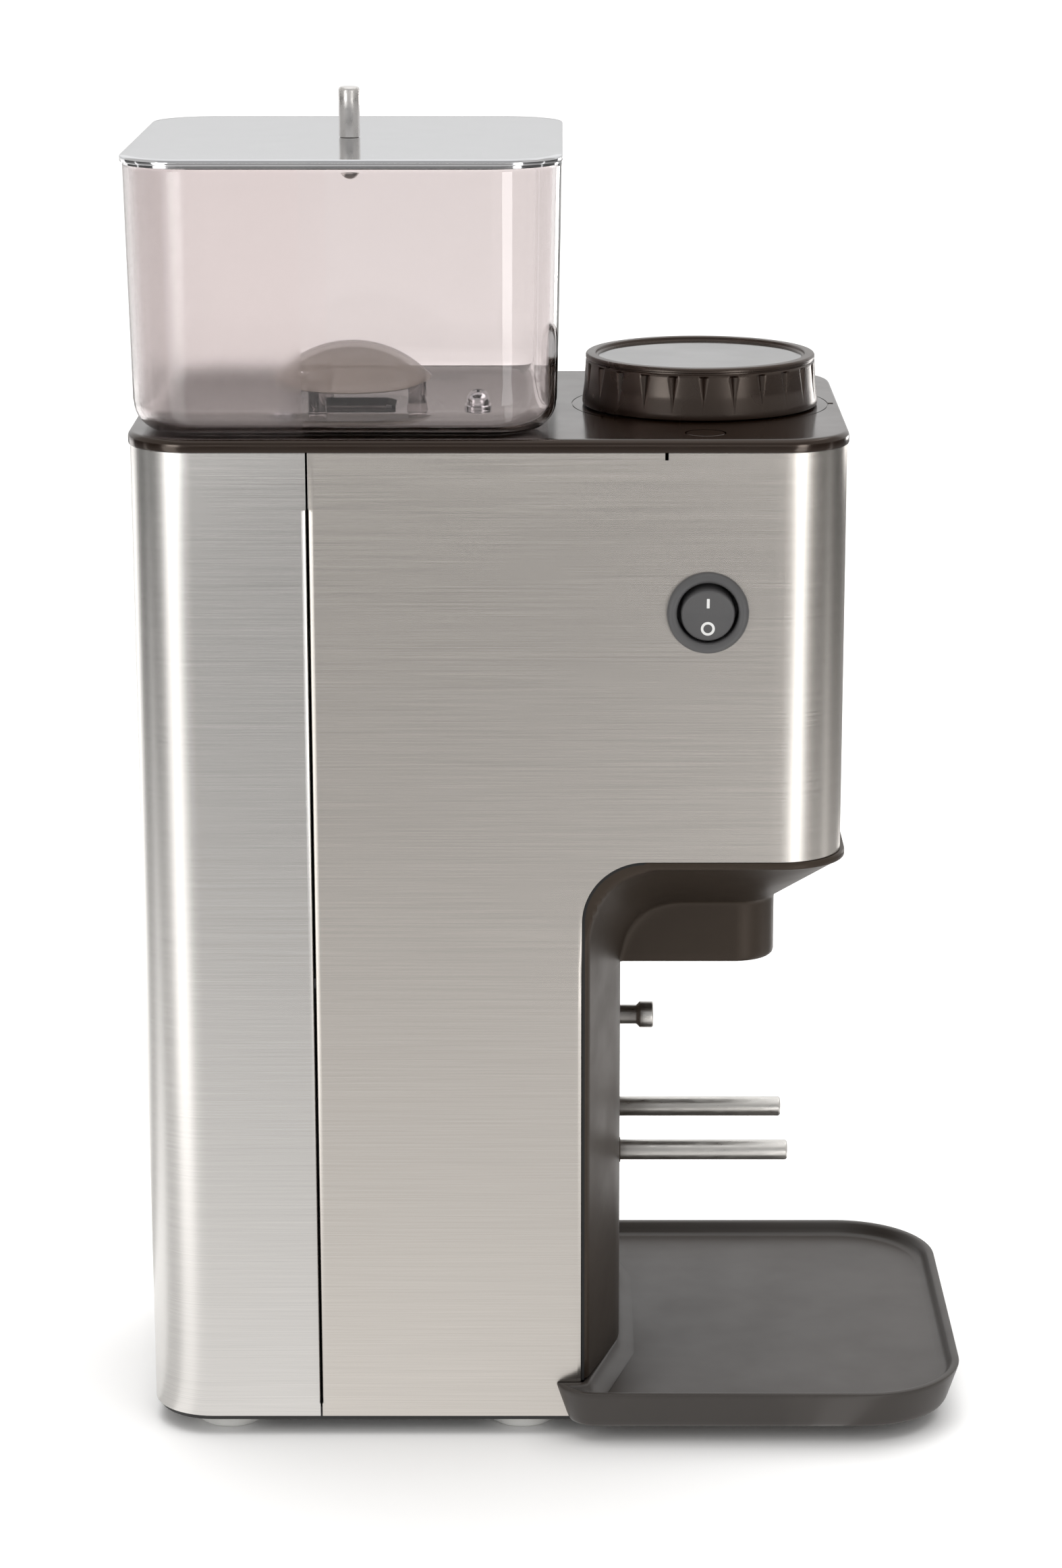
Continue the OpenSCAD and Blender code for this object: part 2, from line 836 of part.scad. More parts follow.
module upper_burr() {
    color(ZINC) at_burr() difference() {
        disc(burr_outer_r - run_gap, carrier_z0, burr_seat_z);
        cone(21, 15, carrier_z0, burr_seat_z);
        disc(15, carrier_z0, FAR);
        for (i = [0 : burr_teeth - 1]) rotate(i * 360 / burr_teeth) translate([20.8, 0, 255])
            rotate([-14, -18, 0]) rotate(45) slab(-0.9, 0.9, -0.9, 0.9, 0, 30);
    }
}

module burr_carrier() {
    color(BLACK) at_burr() difference() {
        union() {
            disc(carrier_r, carrier_z0, adjust_z0 + 0.5);
            gear(ring_teeth, adjust_module, adjust_z0, adjust_z1);
        }
        disc(burr_outer_r, 0, burr_seat_z);
        disc(16, 0, FAR);
        cone(16, 20, 280, adjust_z1 + 0.01);
    }
}

module idler_gear() {
    color(BLACK) translate([idler_x, 0, 0]) difference() {
        rotate(180 / idler_teeth) gear(idler_teeth, adjust_module, adjust_z0, adjust_z1);
        disc(idler_pin_r + run_gap, 0, FAR);
    }
}

module idler_pin() {
    color(ZINC) translate([idler_x, 0, 0]) {
        disc(6, adjust_z0 - 2, adjust_z0 - 0.3);
        disc(idler_pin_r, adjust_z0 - 1, adjust_z1 + 0.5);
        disc(2.5, adjust_z1, body_z1 + 1.8);
    }
}

// Knob

module knob_gear() {
    color(BLACK) at_knob() difference() {
        union() {
            gear(ring_teeth, adjust_module, adjust_z0, adjust_z1);
            disc(knob_shaft_r, adjust_z0 - 3, top_z + 9.8);
        }
        disc(2 + thread_gap, top_z - 4, FAR);
    }
}

module grind_knob() {
    top = top_z + knob_h;
    color(BROWN) at_knob() difference() {
        union() {
            cone(knob_skirt_r, knob_r + 0.4, top_z + inside_gap, top_z + 6);
            cone(knob_r + 0.4, knob_r, top_z + 6, top - 0.6);
            cone(knob_r, knob_r - 0.6, top - 0.6, top);
        }
        difference() {
            disc(knob_r - 3, 0, top - 5);
            disc(9, 0, FAR);
        }
        disc(knob_r - 3 + thread_gap, top - 2.6, FAR);
        disc(knob_shaft_r + run_gap, 0, top_z + 10);
        disc(2 + thread_gap, 0, FAR);
        disc(3.8, top_z + 11.5, FAR);
        for (i = [0 : flutes - 1]) rotate((i + 0.5) * 360 / flutes)
            translate([knob_r - 1.3, 0, top - 1.9]) rotate([0, 172, 0]) rotate(45)
            slab(0, 4, 0, 4, 0, 16);
    }
}

module knob_cap() {
    color(LID_GREY) at_knob() disc(knob_r - 3, top_z + knob_h - 2.6, top_z + knob_h - 1);
}

module knob_screw() {
    color(ZINC) at_knob() translate([0, 0, top_z + 11.5]) rotate([0, 0, 45]) screw(3.5, 0.9, 2, 13);
}

// Chute

module chute_run(r, extra) {
    run = chute_bend - chute_top;
    tilt = atan2(run[0], run[2]);
    translate(chute_top) rotate([0, tilt, 0]) translate([0, 0, -extra]) cylinder(r = r, h = norm(run) + extra);
}

module grounds_chute() {
    color(BLACK) difference() {
        union() {
            chute_run(chute_r, 0);
            translate(chute_bend) sphere(r = spout_r);
            at_knob() disc(spout_r, spout_z0, chute_bend[2]);
        }
        chute_run(chute_bore_r, 20);
        translate(chute_bend) sphere(r = spout_bore_r);
        at_knob() disc(spout_bore_r, 0, chute_bend[2]);
        slab(-FAR, burr_x + chamber_r + 3.2, -FAR, FAR, 0, FAR);
    }
}

// Hopper and lid

module hopper_screw_places() {
    for (a = [0 : 120 : 240]) rotate(a) translate([hopper_screw_ring, 0, 0]) children();
}

module hopper_plan(d) {
    plan(hopper_x0 + d, hopper_x1 - d, hopper_w / 2 - d, hopper_corner_r - min(d, 12),
        hopper_corner_r - min(d, 12), $fn = HULL_FN);
}

module hopper() {
    floor_z = top_z + hopper_floor_t;
    color(SMOKE) difference() {
        union() {
            hull() {
                layer(top_z, 0.1) hopper_plan(hopper_edge);
                layer(top_z + 1.8, 0.1) hopper_plan(hopper_taper + 1.8);
                layer(top_z + hopper_edge, 0.1) hopper_plan(hopper_taper);
                layer(hopper_z1 - 0.1, 0.1) hopper_plan(0);
            }
            at_burr() disc(spigot_r, adjust_z1 + 1.5, top_z + 1);
        }
        hull() {
            layer(floor_z, 0.1) hopper_plan(hopper_edge + 1);
            layer(floor_z + 1.5, 0.1) hopper_plan(hopper_taper + hopper_wall + 1.5);
            layer(floor_z + hopper_edge - 1, 0.1) hopper_plan(hopper_taper + hopper_wall);
            layer(hopper_z1, 0.1) hopper_plan(hopper_wall);
        }
        at_burr() {
            disc(throat_r, 0, FAR);
            hopper_screw_places() disc(screw_hole_r, 0, floor_z + 1);
        }
    }
}

module hopper_seal() {
    color(MILK) at_burr() ring(seal_r1, seal_r0, top_z - seal_t, top_z);
}

module hopper_screws() {
    color(ZINC) at_burr() hopper_screw_places() translate([0, 0, top_z + hopper_floor_t])
        screw(4, 3, screw_r, hopper_floor_t + 4.5);
}

module bean_guard() {
    floor_z = top_z + hopper_floor_t;
    rim_z = floor_z + guard_rise;
    ball_r = (guard_r * guard_r + guard_h * guard_h) / (2 * guard_h);
    color(SMOKE) at_burr() {
        intersection() {
            translate([0, 0, rim_z + guard_h - ball_r]) difference() {
                sphere(r = ball_r, $fn = 96);
                sphere(r = ball_r - guard_t, $fn = 96);
            }
            slab(-FAR, FAR, -FAR, FAR, rim_z, FAR);
        }
        for (a = [0 : 120 : 240]) rotate(a) translate([guard_post_ring, 0, 0]) disc(guard_post_r, floor_z, rim_z + 1.8);
    }
}

module hopper_lid() {
    color(LID_GREY) layer(hopper_z1 + lid_gap, lid_t) difference() {
        plan(-total_l / 2, lid_x1, lid_half_w, 17.5, 17.5);
        translate([lid_mid_x, 0]) circle(1.6);
    }
}

module lid_pin() {
    base = hopper_z1 + lid_gap + lid_t;
    color(ZINC) translate([lid_mid_x, 0, 0]) difference() {
        union() {
            disc(lid_pin_r, base, base + lid_pin_h - 1);
            cone(lid_pin_r, lid_pin_r - 0.9, base + lid_pin_h - 1, base + lid_pin_h);
        }
        disc(1.6, base - 1, base + 8);
    }
}

module lid_screw() {
    nut_z1 = hopper_z1 + lid_gap;
    nut_z0 = nut_z1 - lid_nut_h;
    color(ZINC) translate([lid_mid_x, 0, 0]) {
        disc(1.5, nut_z1 - 1, nut_z1 + lid_t + 6);
        disc(lid_nut_r, nut_z0 + lid_nut_r, nut_z1);
        translate([0, 0, nut_z0 + lid_nut_r]) sphere(r = lid_nut_r);
    }
}

// Switch

module at_switch() {
    translate([switch_x, -half_w, switch_z]) rotate([90, 0, 0]) children();
}

module switch_housing() {
    color(BLACK) at_switch() difference() {
        union() {
            cone(bezel_d / 2, bezel_d / 2 - 0.6, 0.05, bezel_t);
            disc(switch_body_r, -switch_body_l, 0.1);
            for (s = [-1, 1]) slab(-3, 3, s * 4 - 0.4, s * 4 + 0.4, -switch_body_l - 7, -switch_body_l);
        }
        disc(bezel_bore_r, -9, bezel_t + 1);
        translate([0, 0, rocker_pivot_z]) rotate([0, 90, 0]) translate([0, 0, -9.6])
            cylinder(r = rocker_pin_r + run_gap, h = 19.2);
    }
}

module switch_rocker() {
    color(BLACK) at_switch() translate([0, 0, rocker_pivot_z]) rotate([rocker_swing / 2, 0, 0]) {
        difference() {
            disc(rocker_r, -rocker_t / 2, rocker_t / 2);
            for (s = [-1, 1]) translate([0, 0, 2.6]) rotate([s * 8, 0, 0])
                slab(-FAR, FAR, min(0, s * FAR), max(0, s * FAR), 0, FAR);
        }
        rotate([0, 90, 0]) translate([0, 0, -9.3]) cylinder(r = rocker_pin_r, h = 18.6);
    }
}

// Front trim

module trim_lip(d, z, h) {
    layer(z, h) plan(flange_x + 0.3 + d, lip_x1 - d, lip_half - d, 2, lip_r - d, $fn = HULL_FN);
}

module trim_block(d, z, h, x0 = flange_x + 0.3) {
    layer(z, h) plan(x0 + d, block_x1 - d, block_half - d, 2, block_r - d, $fn = HULL_FN);
}

// Room for the steel corner between the column and the head
module steel_corner() {
    for (s = [-1, 1]) translate([0, s * (half_w + 2.5), 0]) rotate([90, 0, 0])
        linear_extrude(2 * (sheet + 2.8), center = true) difference() {
            translate([col_x - 1, head_z - cut_r]) square([cut_r + 1, cut_r + 8]);
            translate([col_x + cut_r, head_z - cut_r]) circle(cut_r - 0.4);
        }
}

module trim_shell() {
    difference() {
        union() {
            intersection() {
                layer(trim_z0, lip_z1 - trim_z0) polygon(nose_outline(0));
                slab(flange_x, FAR, -FAR, FAR, 0, FAR);
            }
            for (s = [-1, 1]) slab(1, flange_x + 1, s * (half_w - 2.4) - 1, s * (half_w - 2.4) + 1,
                trim_z0, head_z - cut_r - 1);
            hull() {
                trim_lip(0, lip_z1 - lip_t, lip_t);
                trim_block(0, block_z1 - 1, 1);
            }
            hull() trim_block(0, block_z0, block_z1 - block_z0);
            layer(lip_z1 - 0.1, 5) difference() {
                body_plan(sheet + inside_gap);
                body_plan(sheet + inside_gap + 2);
                translate([-FAR, -FAR]) square([FAR + col_x + cut_r + 3, 2 * FAR]);
            }
        }
        layer(trim_z0 + 2, FAR) intersection() {
            polygon(inset(nose_outline(-20), trim_wall));
            translate([-FAR, -FAR]) square([FAR + nose_x - trim_wall, 2 * FAR]);
        }
        layer(0, 30) polygon(inset(nose_outline(-20), skirt_inset + trim_wall));
        hull() {
            trim_lip(lip_wall, lip_z1 - lip_t + 1, lip_t);
            trim_block(trim_wall, block_z1, 1);
        }
        hull() trim_block(trim_wall, block_z0 + trim_wall, block_z1 - block_z0, nose_x - 0.5);
        at_knob() disc(outlet_r, 0, block_z1);
        for (s = [-1, 1]) along_x(nose_x - 5, s * rod_pitch / 2, rod_z) cylinder(r = stud_r + stud_gap, h = 20);
        along_x(nose_x - 5, 0, button_z) cylinder(r = button_stem_r + run_gap, h = 20);
        steel_corner();
    }
}

// The set-back foot below the nose, which the tray's back wall stands in front of
module trim_skirt() {
    layer(plate_z1, trim_z0 + 1 - plate_z1) difference() {
        polygon(inset(nose_outline(-1), skirt_inset));
        polygon(inset(nose_outline(-20), skirt_inset + 2));
    }
}

module front_trim() {
    color(TRIM_BROWN) {
        trim_shell();
        trim_skirt();
    }
}

// Fork and button

module fork_bracket() {
    x1 = nose_x - trim_wall - 0.1;
    x2 = x1 - skirt_inset - 0.1;
    z1 = trim_z0 + 3.2;
    color(ZINC) difference() {
        union() {
            slab(x1 - bracket_t, x1, -27, 27, z1, 96);
            slab(x2 - bracket_t, x1, -27, 27, z1, z1 + bracket_t);
            slab(x2 - bracket_t, x2, -27, 27, plate_z1 + 0.1, z1 + bracket_t);
            slab(x2 - 26, x2, -27, 27, plate_z1 + 0.1, plate_z1 + bracket_t);
        }
        for (s = [-1, 1]) along_x(0, s * rod_pitch / 2, rod_z) cylinder(r = stud_r + stud_gap, h = FAR);
    }
}

// A rod, with a threaded stud behind its shoulder and a nut on the stud
module fork_rods() {
    chamfer = 0.8;
    color(ZINC) for (s = [-1, 1]) translate([0, s * rod_pitch / 2, 0]) {
        along_x(rod_x0, 0, rod_z) cylinder(r = stud_r, h = nose_x - rod_x0 + 1);
        along_x(rod_x0 + 2.8, 0, rod_z) cylinder(r = nut_r, h = nut_t, $fn = 6);
        along_x(nose_x, 0, rod_z) cylinder(r = rod_r, h = rod_l - chamfer);
        along_x(rod_x1 - chamfer, 0, rod_z) cylinder(r1 = rod_r, r2 = rod_r - chamfer, h = chamfer);
    }
}

module dose_button() {
    color(ZINC) {
        along_x(button_x0, 0, button_z) cylinder(r = button_stem_r, h = button_x1 - button_x0 - 1);
        along_x(button_x1 - button_head_l - 1, 0, button_z) cylinder(r1 = button_stem_r, r2 = button_head_r, h = 1);
        along_x(button_x1 - button_head_l, 0, button_z) cylinder(r = button_head_r, h = button_head_l - 0.4);
        along_x(button_x1 - 0.4, 0, button_z) cylinder(r1 = button_head_r, r2 = button_head_r - 0.4, h = 0.4);
        along_x(button_flange_x, 0, button_z) cylinder(r = 5.4, h = 1.7);
    }
}

module button_guide() {
    inner = nose_x - trim_wall - 0.1;
    color(MILK) difference() {
        union() {
            slab(guide_x, inner, -guide_half, guide_half, button_z - 9, button_z + 9);
            for (s = [-1, 1]) slab(micro_x - 6.5, guide_x + 1, s * 4.6 - 1.1, s * 4.6 + 1.1,
                button_z - 6, button_z + 6);
        }
        slab(guide_x + guide_t, inner + 1, -guide_half + 2, guide_half - 2, button_z - 7, button_z + 7);
        along_x(guide_x - 1, 0, button_z) cylinder(r = button_stem_r + run_gap, h = 10);
    }
}

module micro_switch() {
    color(BLACK) difference() {
        union() {
            slab(micro_x - 9.5, micro_x - 1, -3.4, 3.4, button_z - 10, button_z + 10);
            slab(micro_x - 1, micro_x, -1.5, 1.5, button_z - 2, button_z + 2);
            for (z = [-7, 0, 7]) slab(micro_x - 14.5, micro_x - 9.5, -0.4, 0.4, button_z + z - 2, button_z + z + 2);
        }
        for (s = [-1, 1]) translate([micro_x - 7, 0, button_z + s * 5]) rotate([90, 0, 0])
            cylinder(r = 1.2, h = 20, center = true);
    }
}

// A closed tube swept along a helix about the button's axis
function coil_ring(i, steps, sides) = let (a = i * 360 * spring_turns / steps,
    x = spring_wire / 2 + (spring_x1 - spring_x0 - spring_wire) * i / steps)
    [for (k = [0 : sides - 1]) let (b = k * 360 / sides, r = spring_r + spring_wire / 2 * cos(b))
        [spring_x0 + x + spring_wire / 2 * sin(b), r * cos(a), button_z + r * sin(a)]];

module button_spring() {
    steps = 14 * spring_turns;
    sides = 6;
    points = [for (i = [0 : steps]) each coil_ring(i, steps, sides)];
    walls = [for (i = [0 : steps - 1], k = [0 : sides - 1]) let (a = i * sides, n = (k + 1) % sides)
        [a + k, a + sides + k, a + sides + n, a + n]];
    ends = [[for (k = [0 : sides - 1]) k], [for (k = [sides - 1 : -1 : 0]) steps * sides + k]];
    color(ZINC) polyhedron(points, concat(walls, ends));
}

// Tray

module tray_plan(d) {
    plan(tray_x0 + min(d, 3), tray_x1 - d, tray_w / 2 - d, tray_rear_r, tray_front_r - d, $fn = HULL_FN);
}

// The column's place in the tray, grown by d
module column_place(d) {
    layer(0, FAR) {
        translate([-FAR, -half_w - d]) square([FAR + col_x + 0.6, 2 * (half_w + d)]);
        polygon(inset(nose_outline(0), skirt_inset - 0.4 - d));
    }
}

module tray() {
    back = trim_wall + 0.6;
    color(TRIM_BROWN) difference() {
        union() {
            hull() {
                layer(tray_z0, 0.1) tray_plan(tray_taper);
                layer(tray_rim - 0.1, 0.1) tray_plan(0);
            }
            for (s = [-1, 1]) translate([tray_x1 - 24, s * 44, 0]) disc(5, 0, tray_z0 + 3);
        }
        column_place(inside_gap);
        difference() {
            hull() {
                layer(dish_z, 0.1) tray_plan(tray_wall + 3);
                layer(tray_rim, 0.1) tray_plan(tray_wall);
            }
            column_place(inside_gap + back);
        }
        difference() {
            hull() {
                layer(tray_z0 - 0.1, 0.1) tray_plan(tray_taper + tray_wall);
                layer(dish_z - 2.1, 0.1) tray_plan(tray_wall + 2);
            }
            column_place(inside_gap + back);
            for (s = [-1, 1]) translate([tray_x1 - 24, s * 44, 0]) disc(5, 0, FAR);
        }
    }
}

base_plate();
foot_rear_left();
foot_rear_right();
foot_front_left();
foot_front_right();
frame_screws();
rear_cover();
front_cover();
top_cover();
front_trim();
index_plug();
cord_gland();
gland_nut();
terminal_block();
control_board();
chassis_posts();
chassis_plate();
motor_can();
motor_end_cap();
motor_magnets();
motor_brushes();
motor_rotor();
gearbox_housing();
gearbox_lid();
lay_shaft();
lay_gear();
output_gear();
lower_bearing();
upper_bearing();
drive_shaft();
chamber_posts();
grind_chamber();
sweeper();
lower_burr();
burr_nut();
upper_burr();
burr_carrier();
idler_gear();
idler_pin();
knob_gear();
grind_knob();
knob_cap();
knob_screw();
grounds_chute();
hopper();
hopper_seal();
hopper_screws();
bean_guard();
hopper_lid();
lid_pin();
lid_screw();
switch_housing();
switch_rocker();
fork_bracket();
fork_rods();
dose_button();
button_spring();
button_guide();
micro_switch();
tray();
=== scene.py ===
"""The looks of the burr coffee grinder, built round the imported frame.

The camera, the lights and the cards are placed in metres, the pieces and their textures in millimetres."""

import math

import bpy
import numpy as np
from mathutils import Matrix, Vector


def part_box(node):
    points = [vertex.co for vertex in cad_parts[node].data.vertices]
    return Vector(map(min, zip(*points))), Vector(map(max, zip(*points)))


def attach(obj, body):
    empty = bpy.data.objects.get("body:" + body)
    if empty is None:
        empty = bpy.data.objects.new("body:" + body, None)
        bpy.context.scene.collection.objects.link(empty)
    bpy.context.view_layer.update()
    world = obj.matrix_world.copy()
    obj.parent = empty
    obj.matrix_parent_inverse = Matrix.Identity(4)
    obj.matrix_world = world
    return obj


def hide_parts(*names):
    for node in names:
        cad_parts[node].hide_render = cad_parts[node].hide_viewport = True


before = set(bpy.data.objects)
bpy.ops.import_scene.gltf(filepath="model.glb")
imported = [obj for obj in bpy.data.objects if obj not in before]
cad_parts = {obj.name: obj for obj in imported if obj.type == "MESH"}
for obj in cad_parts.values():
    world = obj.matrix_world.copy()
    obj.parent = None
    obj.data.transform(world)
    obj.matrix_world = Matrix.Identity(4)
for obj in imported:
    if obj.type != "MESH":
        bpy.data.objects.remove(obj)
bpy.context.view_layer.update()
MM = 0.001
scene = bpy.context.scene


def mm_box(node):
    lo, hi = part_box(node)
    return [c / MM for c in lo], [c / MM for c in hi]


# ---------------------------------------------------------------- camera, floor and light

def add(obj):
    scene.collection.objects.link(obj)
    return obj


camera = add(bpy.data.objects.new("camera", bpy.data.cameras.new("camera")))
camera.location = (0.0014, -1.1788, 0.4861)
camera.rotation_euler = (math.radians(90 - 15.294), 0, 0)
camera.data.sensor_width = 36
camera.data.lens = 93.81
camera.data.shift_x = -0.0195
camera.data.shift_y = 0.0379
camera.data.clip_end = 100
camera.data.dof.use_dof = False
scene.camera = camera
scene.view_settings.view_transform = "Standard"


def nodes_of(material):
    material.use_nodes = True
    tree = material.node_tree
    tree.nodes.clear()
    out = tree.nodes.new("ShaderNodeOutputMaterial")
    return tree, out


def plane(name, points):
    mesh = bpy.data.meshes.new(name)
    mesh.from_pydata(points, [], [list(range(len(points)))])
    mesh.update()
    return add(bpy.data.objects.new(name, mesh))


def floor_material():
    material = bpy.data.materials.new("floor")
    tree, out = nodes_of(material)
    shader = tree.nodes.new("ShaderNodeBsdfDiffuse")
    shader.inputs["Color"].default_value = (0.96, 0.96, 0.96, 1)
    tree.links.new(shader.outputs[0], out.inputs[0])
    return material


floor = plane("floor", [(-12, -12, 0), (12, -12, 0), (12, 12, 0), (-12, 12, 0)])
floor.data.materials.append(floor_material())

world = bpy.data.worlds.new("studio")
world.use_nodes = True
world.node_tree.nodes["Background"].inputs["Color"].default_value = (1.0, 0.985, 0.965, 1)
world.node_tree.nodes["Background"].inputs["Strength"].default_value = 0.62
scene.world = world


def area(name, azimuth, distance, height, width, tall, strength):
    """A softbox at an azimuth off the camera's side, + to the camera's right, facing the object."""
    light = bpy.data.lights.new(name, "AREA")
    light.shape = "RECTANGLE"
    light.size = width
    light.size_y = tall
    light.energy = strength * width * tall * math.pi
    obj = add(bpy.data.objects.new(name, light))
    a = math.radians(azimuth)
    obj.location = (distance * math.sin(a), -distance * math.cos(a), height)
    aim = Vector((0, 0, min(height, 0.25))) - obj.location
    obj.rotation_euler = aim.to_track_quat("-Z", "Y").to_euler()
    obj.visible_camera = obj.visible_glossy = False


area("softbox_left", -52, 1.9, 0.9, 0.8, 1.2, 1.6)
area("softbox_right", 38, 1.9, 0.9, 0.6, 1.2, 1.6)
area("softbox_top", 180, 0.6, 1.9, 1.6, 1.2, 1.6)

sun = bpy.data.lights.new("sun", "SUN")
sun.energy = 1.9
sun.angle = math.radians(70)
sun_object = add(bpy.data.objects.new("sun", sun))
sun_object.rotation_euler = (math.radians(-8), math.radians(6), 0)


def glossy_only(obj):
    for ray in ("camera", "diffuse", "shadow", "transmission", "volume_scatter"):
        setattr(obj, "visible_" + ray, False)


CARD_Z, CARD_REACH, CARD_COLOUR = 0.003, 9.0, (1, 0.985, 0.97)


def fan(name, corners, start, stop, tones):
    """A grey card on the floor, seen by reflections alone, as a studio sets round a shiny object.

    Its two edges leave one corner of the body, or two, at the azimuths start and stop. tones are pairs of a
    distance from the first corner and a brightness."""
    material = bpy.data.materials.new(name)
    tree, out = nodes_of(material)
    new, link = tree.nodes.new, tree.links.new
    coord, away, far = new("ShaderNodeTexCoord"), new("ShaderNodeVectorMath"), new("ShaderNodeMapRange")
    away.operation = "DISTANCE"
    away.inputs[1].default_value = (*corners[0], CARD_Z)
    far.inputs["From Max"].default_value = CARD_REACH
    ramp, glow = new("ShaderNodeValToRGB"), new("ShaderNodeEmission")
    while len(ramp.color_ramp.elements) < len(tones):
        ramp.color_ramp.elements.new(0.5)
    for element, (distance, tone) in zip(ramp.color_ramp.elements, tones):
        element.position = distance / CARD_REACH
        element.color = (tone / BRIGHTEST, tone / BRIGHTEST, tone / BRIGHTEST, 1)
    power = new("ShaderNodeMath")
    power.operation = "MULTIPLY"
    power.inputs[1].default_value = BRIGHTEST
    glow.inputs["Color"].default_value = (*CARD_COLOUR, 1)
    link(coord.outputs["Object"], away.inputs[0])
    link(away.outputs["Value"], far.inputs["Value"])
    link(far.outputs[0], ramp.inputs[0])
    link(ramp.outputs[0], power.inputs[0])
    link(power.outputs[0], glow.inputs["Strength"])
    link(glow.outputs[0], out.inputs[0])
    points = [(*corner, CARD_Z) for corner in corners]
    for azimuth in np.linspace(stop, start, 6):
        x, y = corners[-1] if azimuth == stop else corners[0]
        a = math.radians(azimuth)
        points.append((x + CARD_REACH * math.sin(a), y - CARD_REACH * math.cos(a), CARD_Z))
    obj = plane(name, points)
    obj.data.materials.append(material)
    glossy_only(obj)


BRIGHTEST = 10
LEFT, RIGHT = (-0.101, -0.0443), (0.063, -0.0443)
FALLING = [(0.0, 1.0), (0.06, 0.92), (0.24, 0.76), (0.63, 0.50), (0.94, 0.41), (1.5, 0.24)]
GREY = FALLING + [(2.8, 0.20), (3.2, 1.4), (9.0, 1.4)]
DIM = [(0.0, 0.74), (0.24, 0.64), (0.63, 0.40), (0.94, 0.24), (1.5, 0.10), (9.0, 0.10)]
BRIGHT = [(0.0, 1.1), (0.15, 1.5), (0.4, 2.2), (1.5, 2.3), (1.9, 1.3), (9.0, 1.1)]
SIDE = FALLING + [(2.1, 0.7), (9.0, 1.2)]
FAR = [(0.0, 1.3), (0.15, 1.8), (0.55, 2.5), (0.62, 0.50), (1.5, 0.32), (1.8, 6.5), (9.0, 7.0)]
FANS = (("dim_left", (LEFT,), -90, -55, DIM), ("bright_left", (LEFT,), -55, -30, BRIGHT),
        ("side_left", (LEFT,), -30, -11, SIDE), ("middle", (LEFT, RIGHT), -11, 10, GREY),
        ("side_right", (RIGHT,), 10, 26, SIDE), ("bright_right", (RIGHT,), 26, 42, FAR),
        ("dim_right", (RIGHT,), 42, 90, DIM))
for name, corners, start, stop, tones in FANS:
    fan(f"card_{name}", corners, start, stop, tones)
    fan(f"card_{name}_far", [(x, -y) for x, y in corners[::-1]], 180 - stop, 180 - start, tones)


def card(name, points, strength):
    """A plain white card, seen by reflections alone."""
    obj = plane(name, points)
    material = bpy.data.materials.new(name)
    tree, out = nodes_of(material)
    glow = tree.nodes.new("ShaderNodeEmission")
    glow.inputs["Strength"].default_value = strength
    tree.links.new(glow.outputs[0], out.inputs[0])
    obj.data.materials.append(material)
    glossy_only(obj)


def flat_card(name, z, corners, strength):
    card(name, [(x, y, z) for x, y in corners], strength)


def upright_card(name, y, half, low, high, strength):
    card(name, [(-half, y, low), (half, y, low), (half, y, high), (-half, y, high)], strength)


ON_FANS = 0.004
flat_card("card_strip_right", ON_FANS, [(0.27, -0.59), (0.83, -1.55), (1.13, -1.30), (0.47, -0.49)], 3.4)
flat_card("card_far_left", ON_FANS, [(-0.93, -1.78), (-3.76, -8.27), (-6.68, -6.18), (-1.46, -1.38)], 7.0)
flat_card("card_top", 2.4, [(-1.5, -2), (1.5, -2), (1.5, 2), (-1.5, 2)], 0.95)
upright_card("card_front", -9.5, 9, ON_FANS, 8, 0.42)
upright_card("card_back_low", 4, 6, ON_FANS, 0.88, 0.74)
upright_card("card_back_high", 4, 6, 0.88, 4, 0.98)

# ---------------------------------------------------------------- materials

# The hopper is frosted behind this x, and the brown plastics' sheen has this tint.
FROST_X = -70.2
WARM = (1.0, 0.86, 0.76, 1)


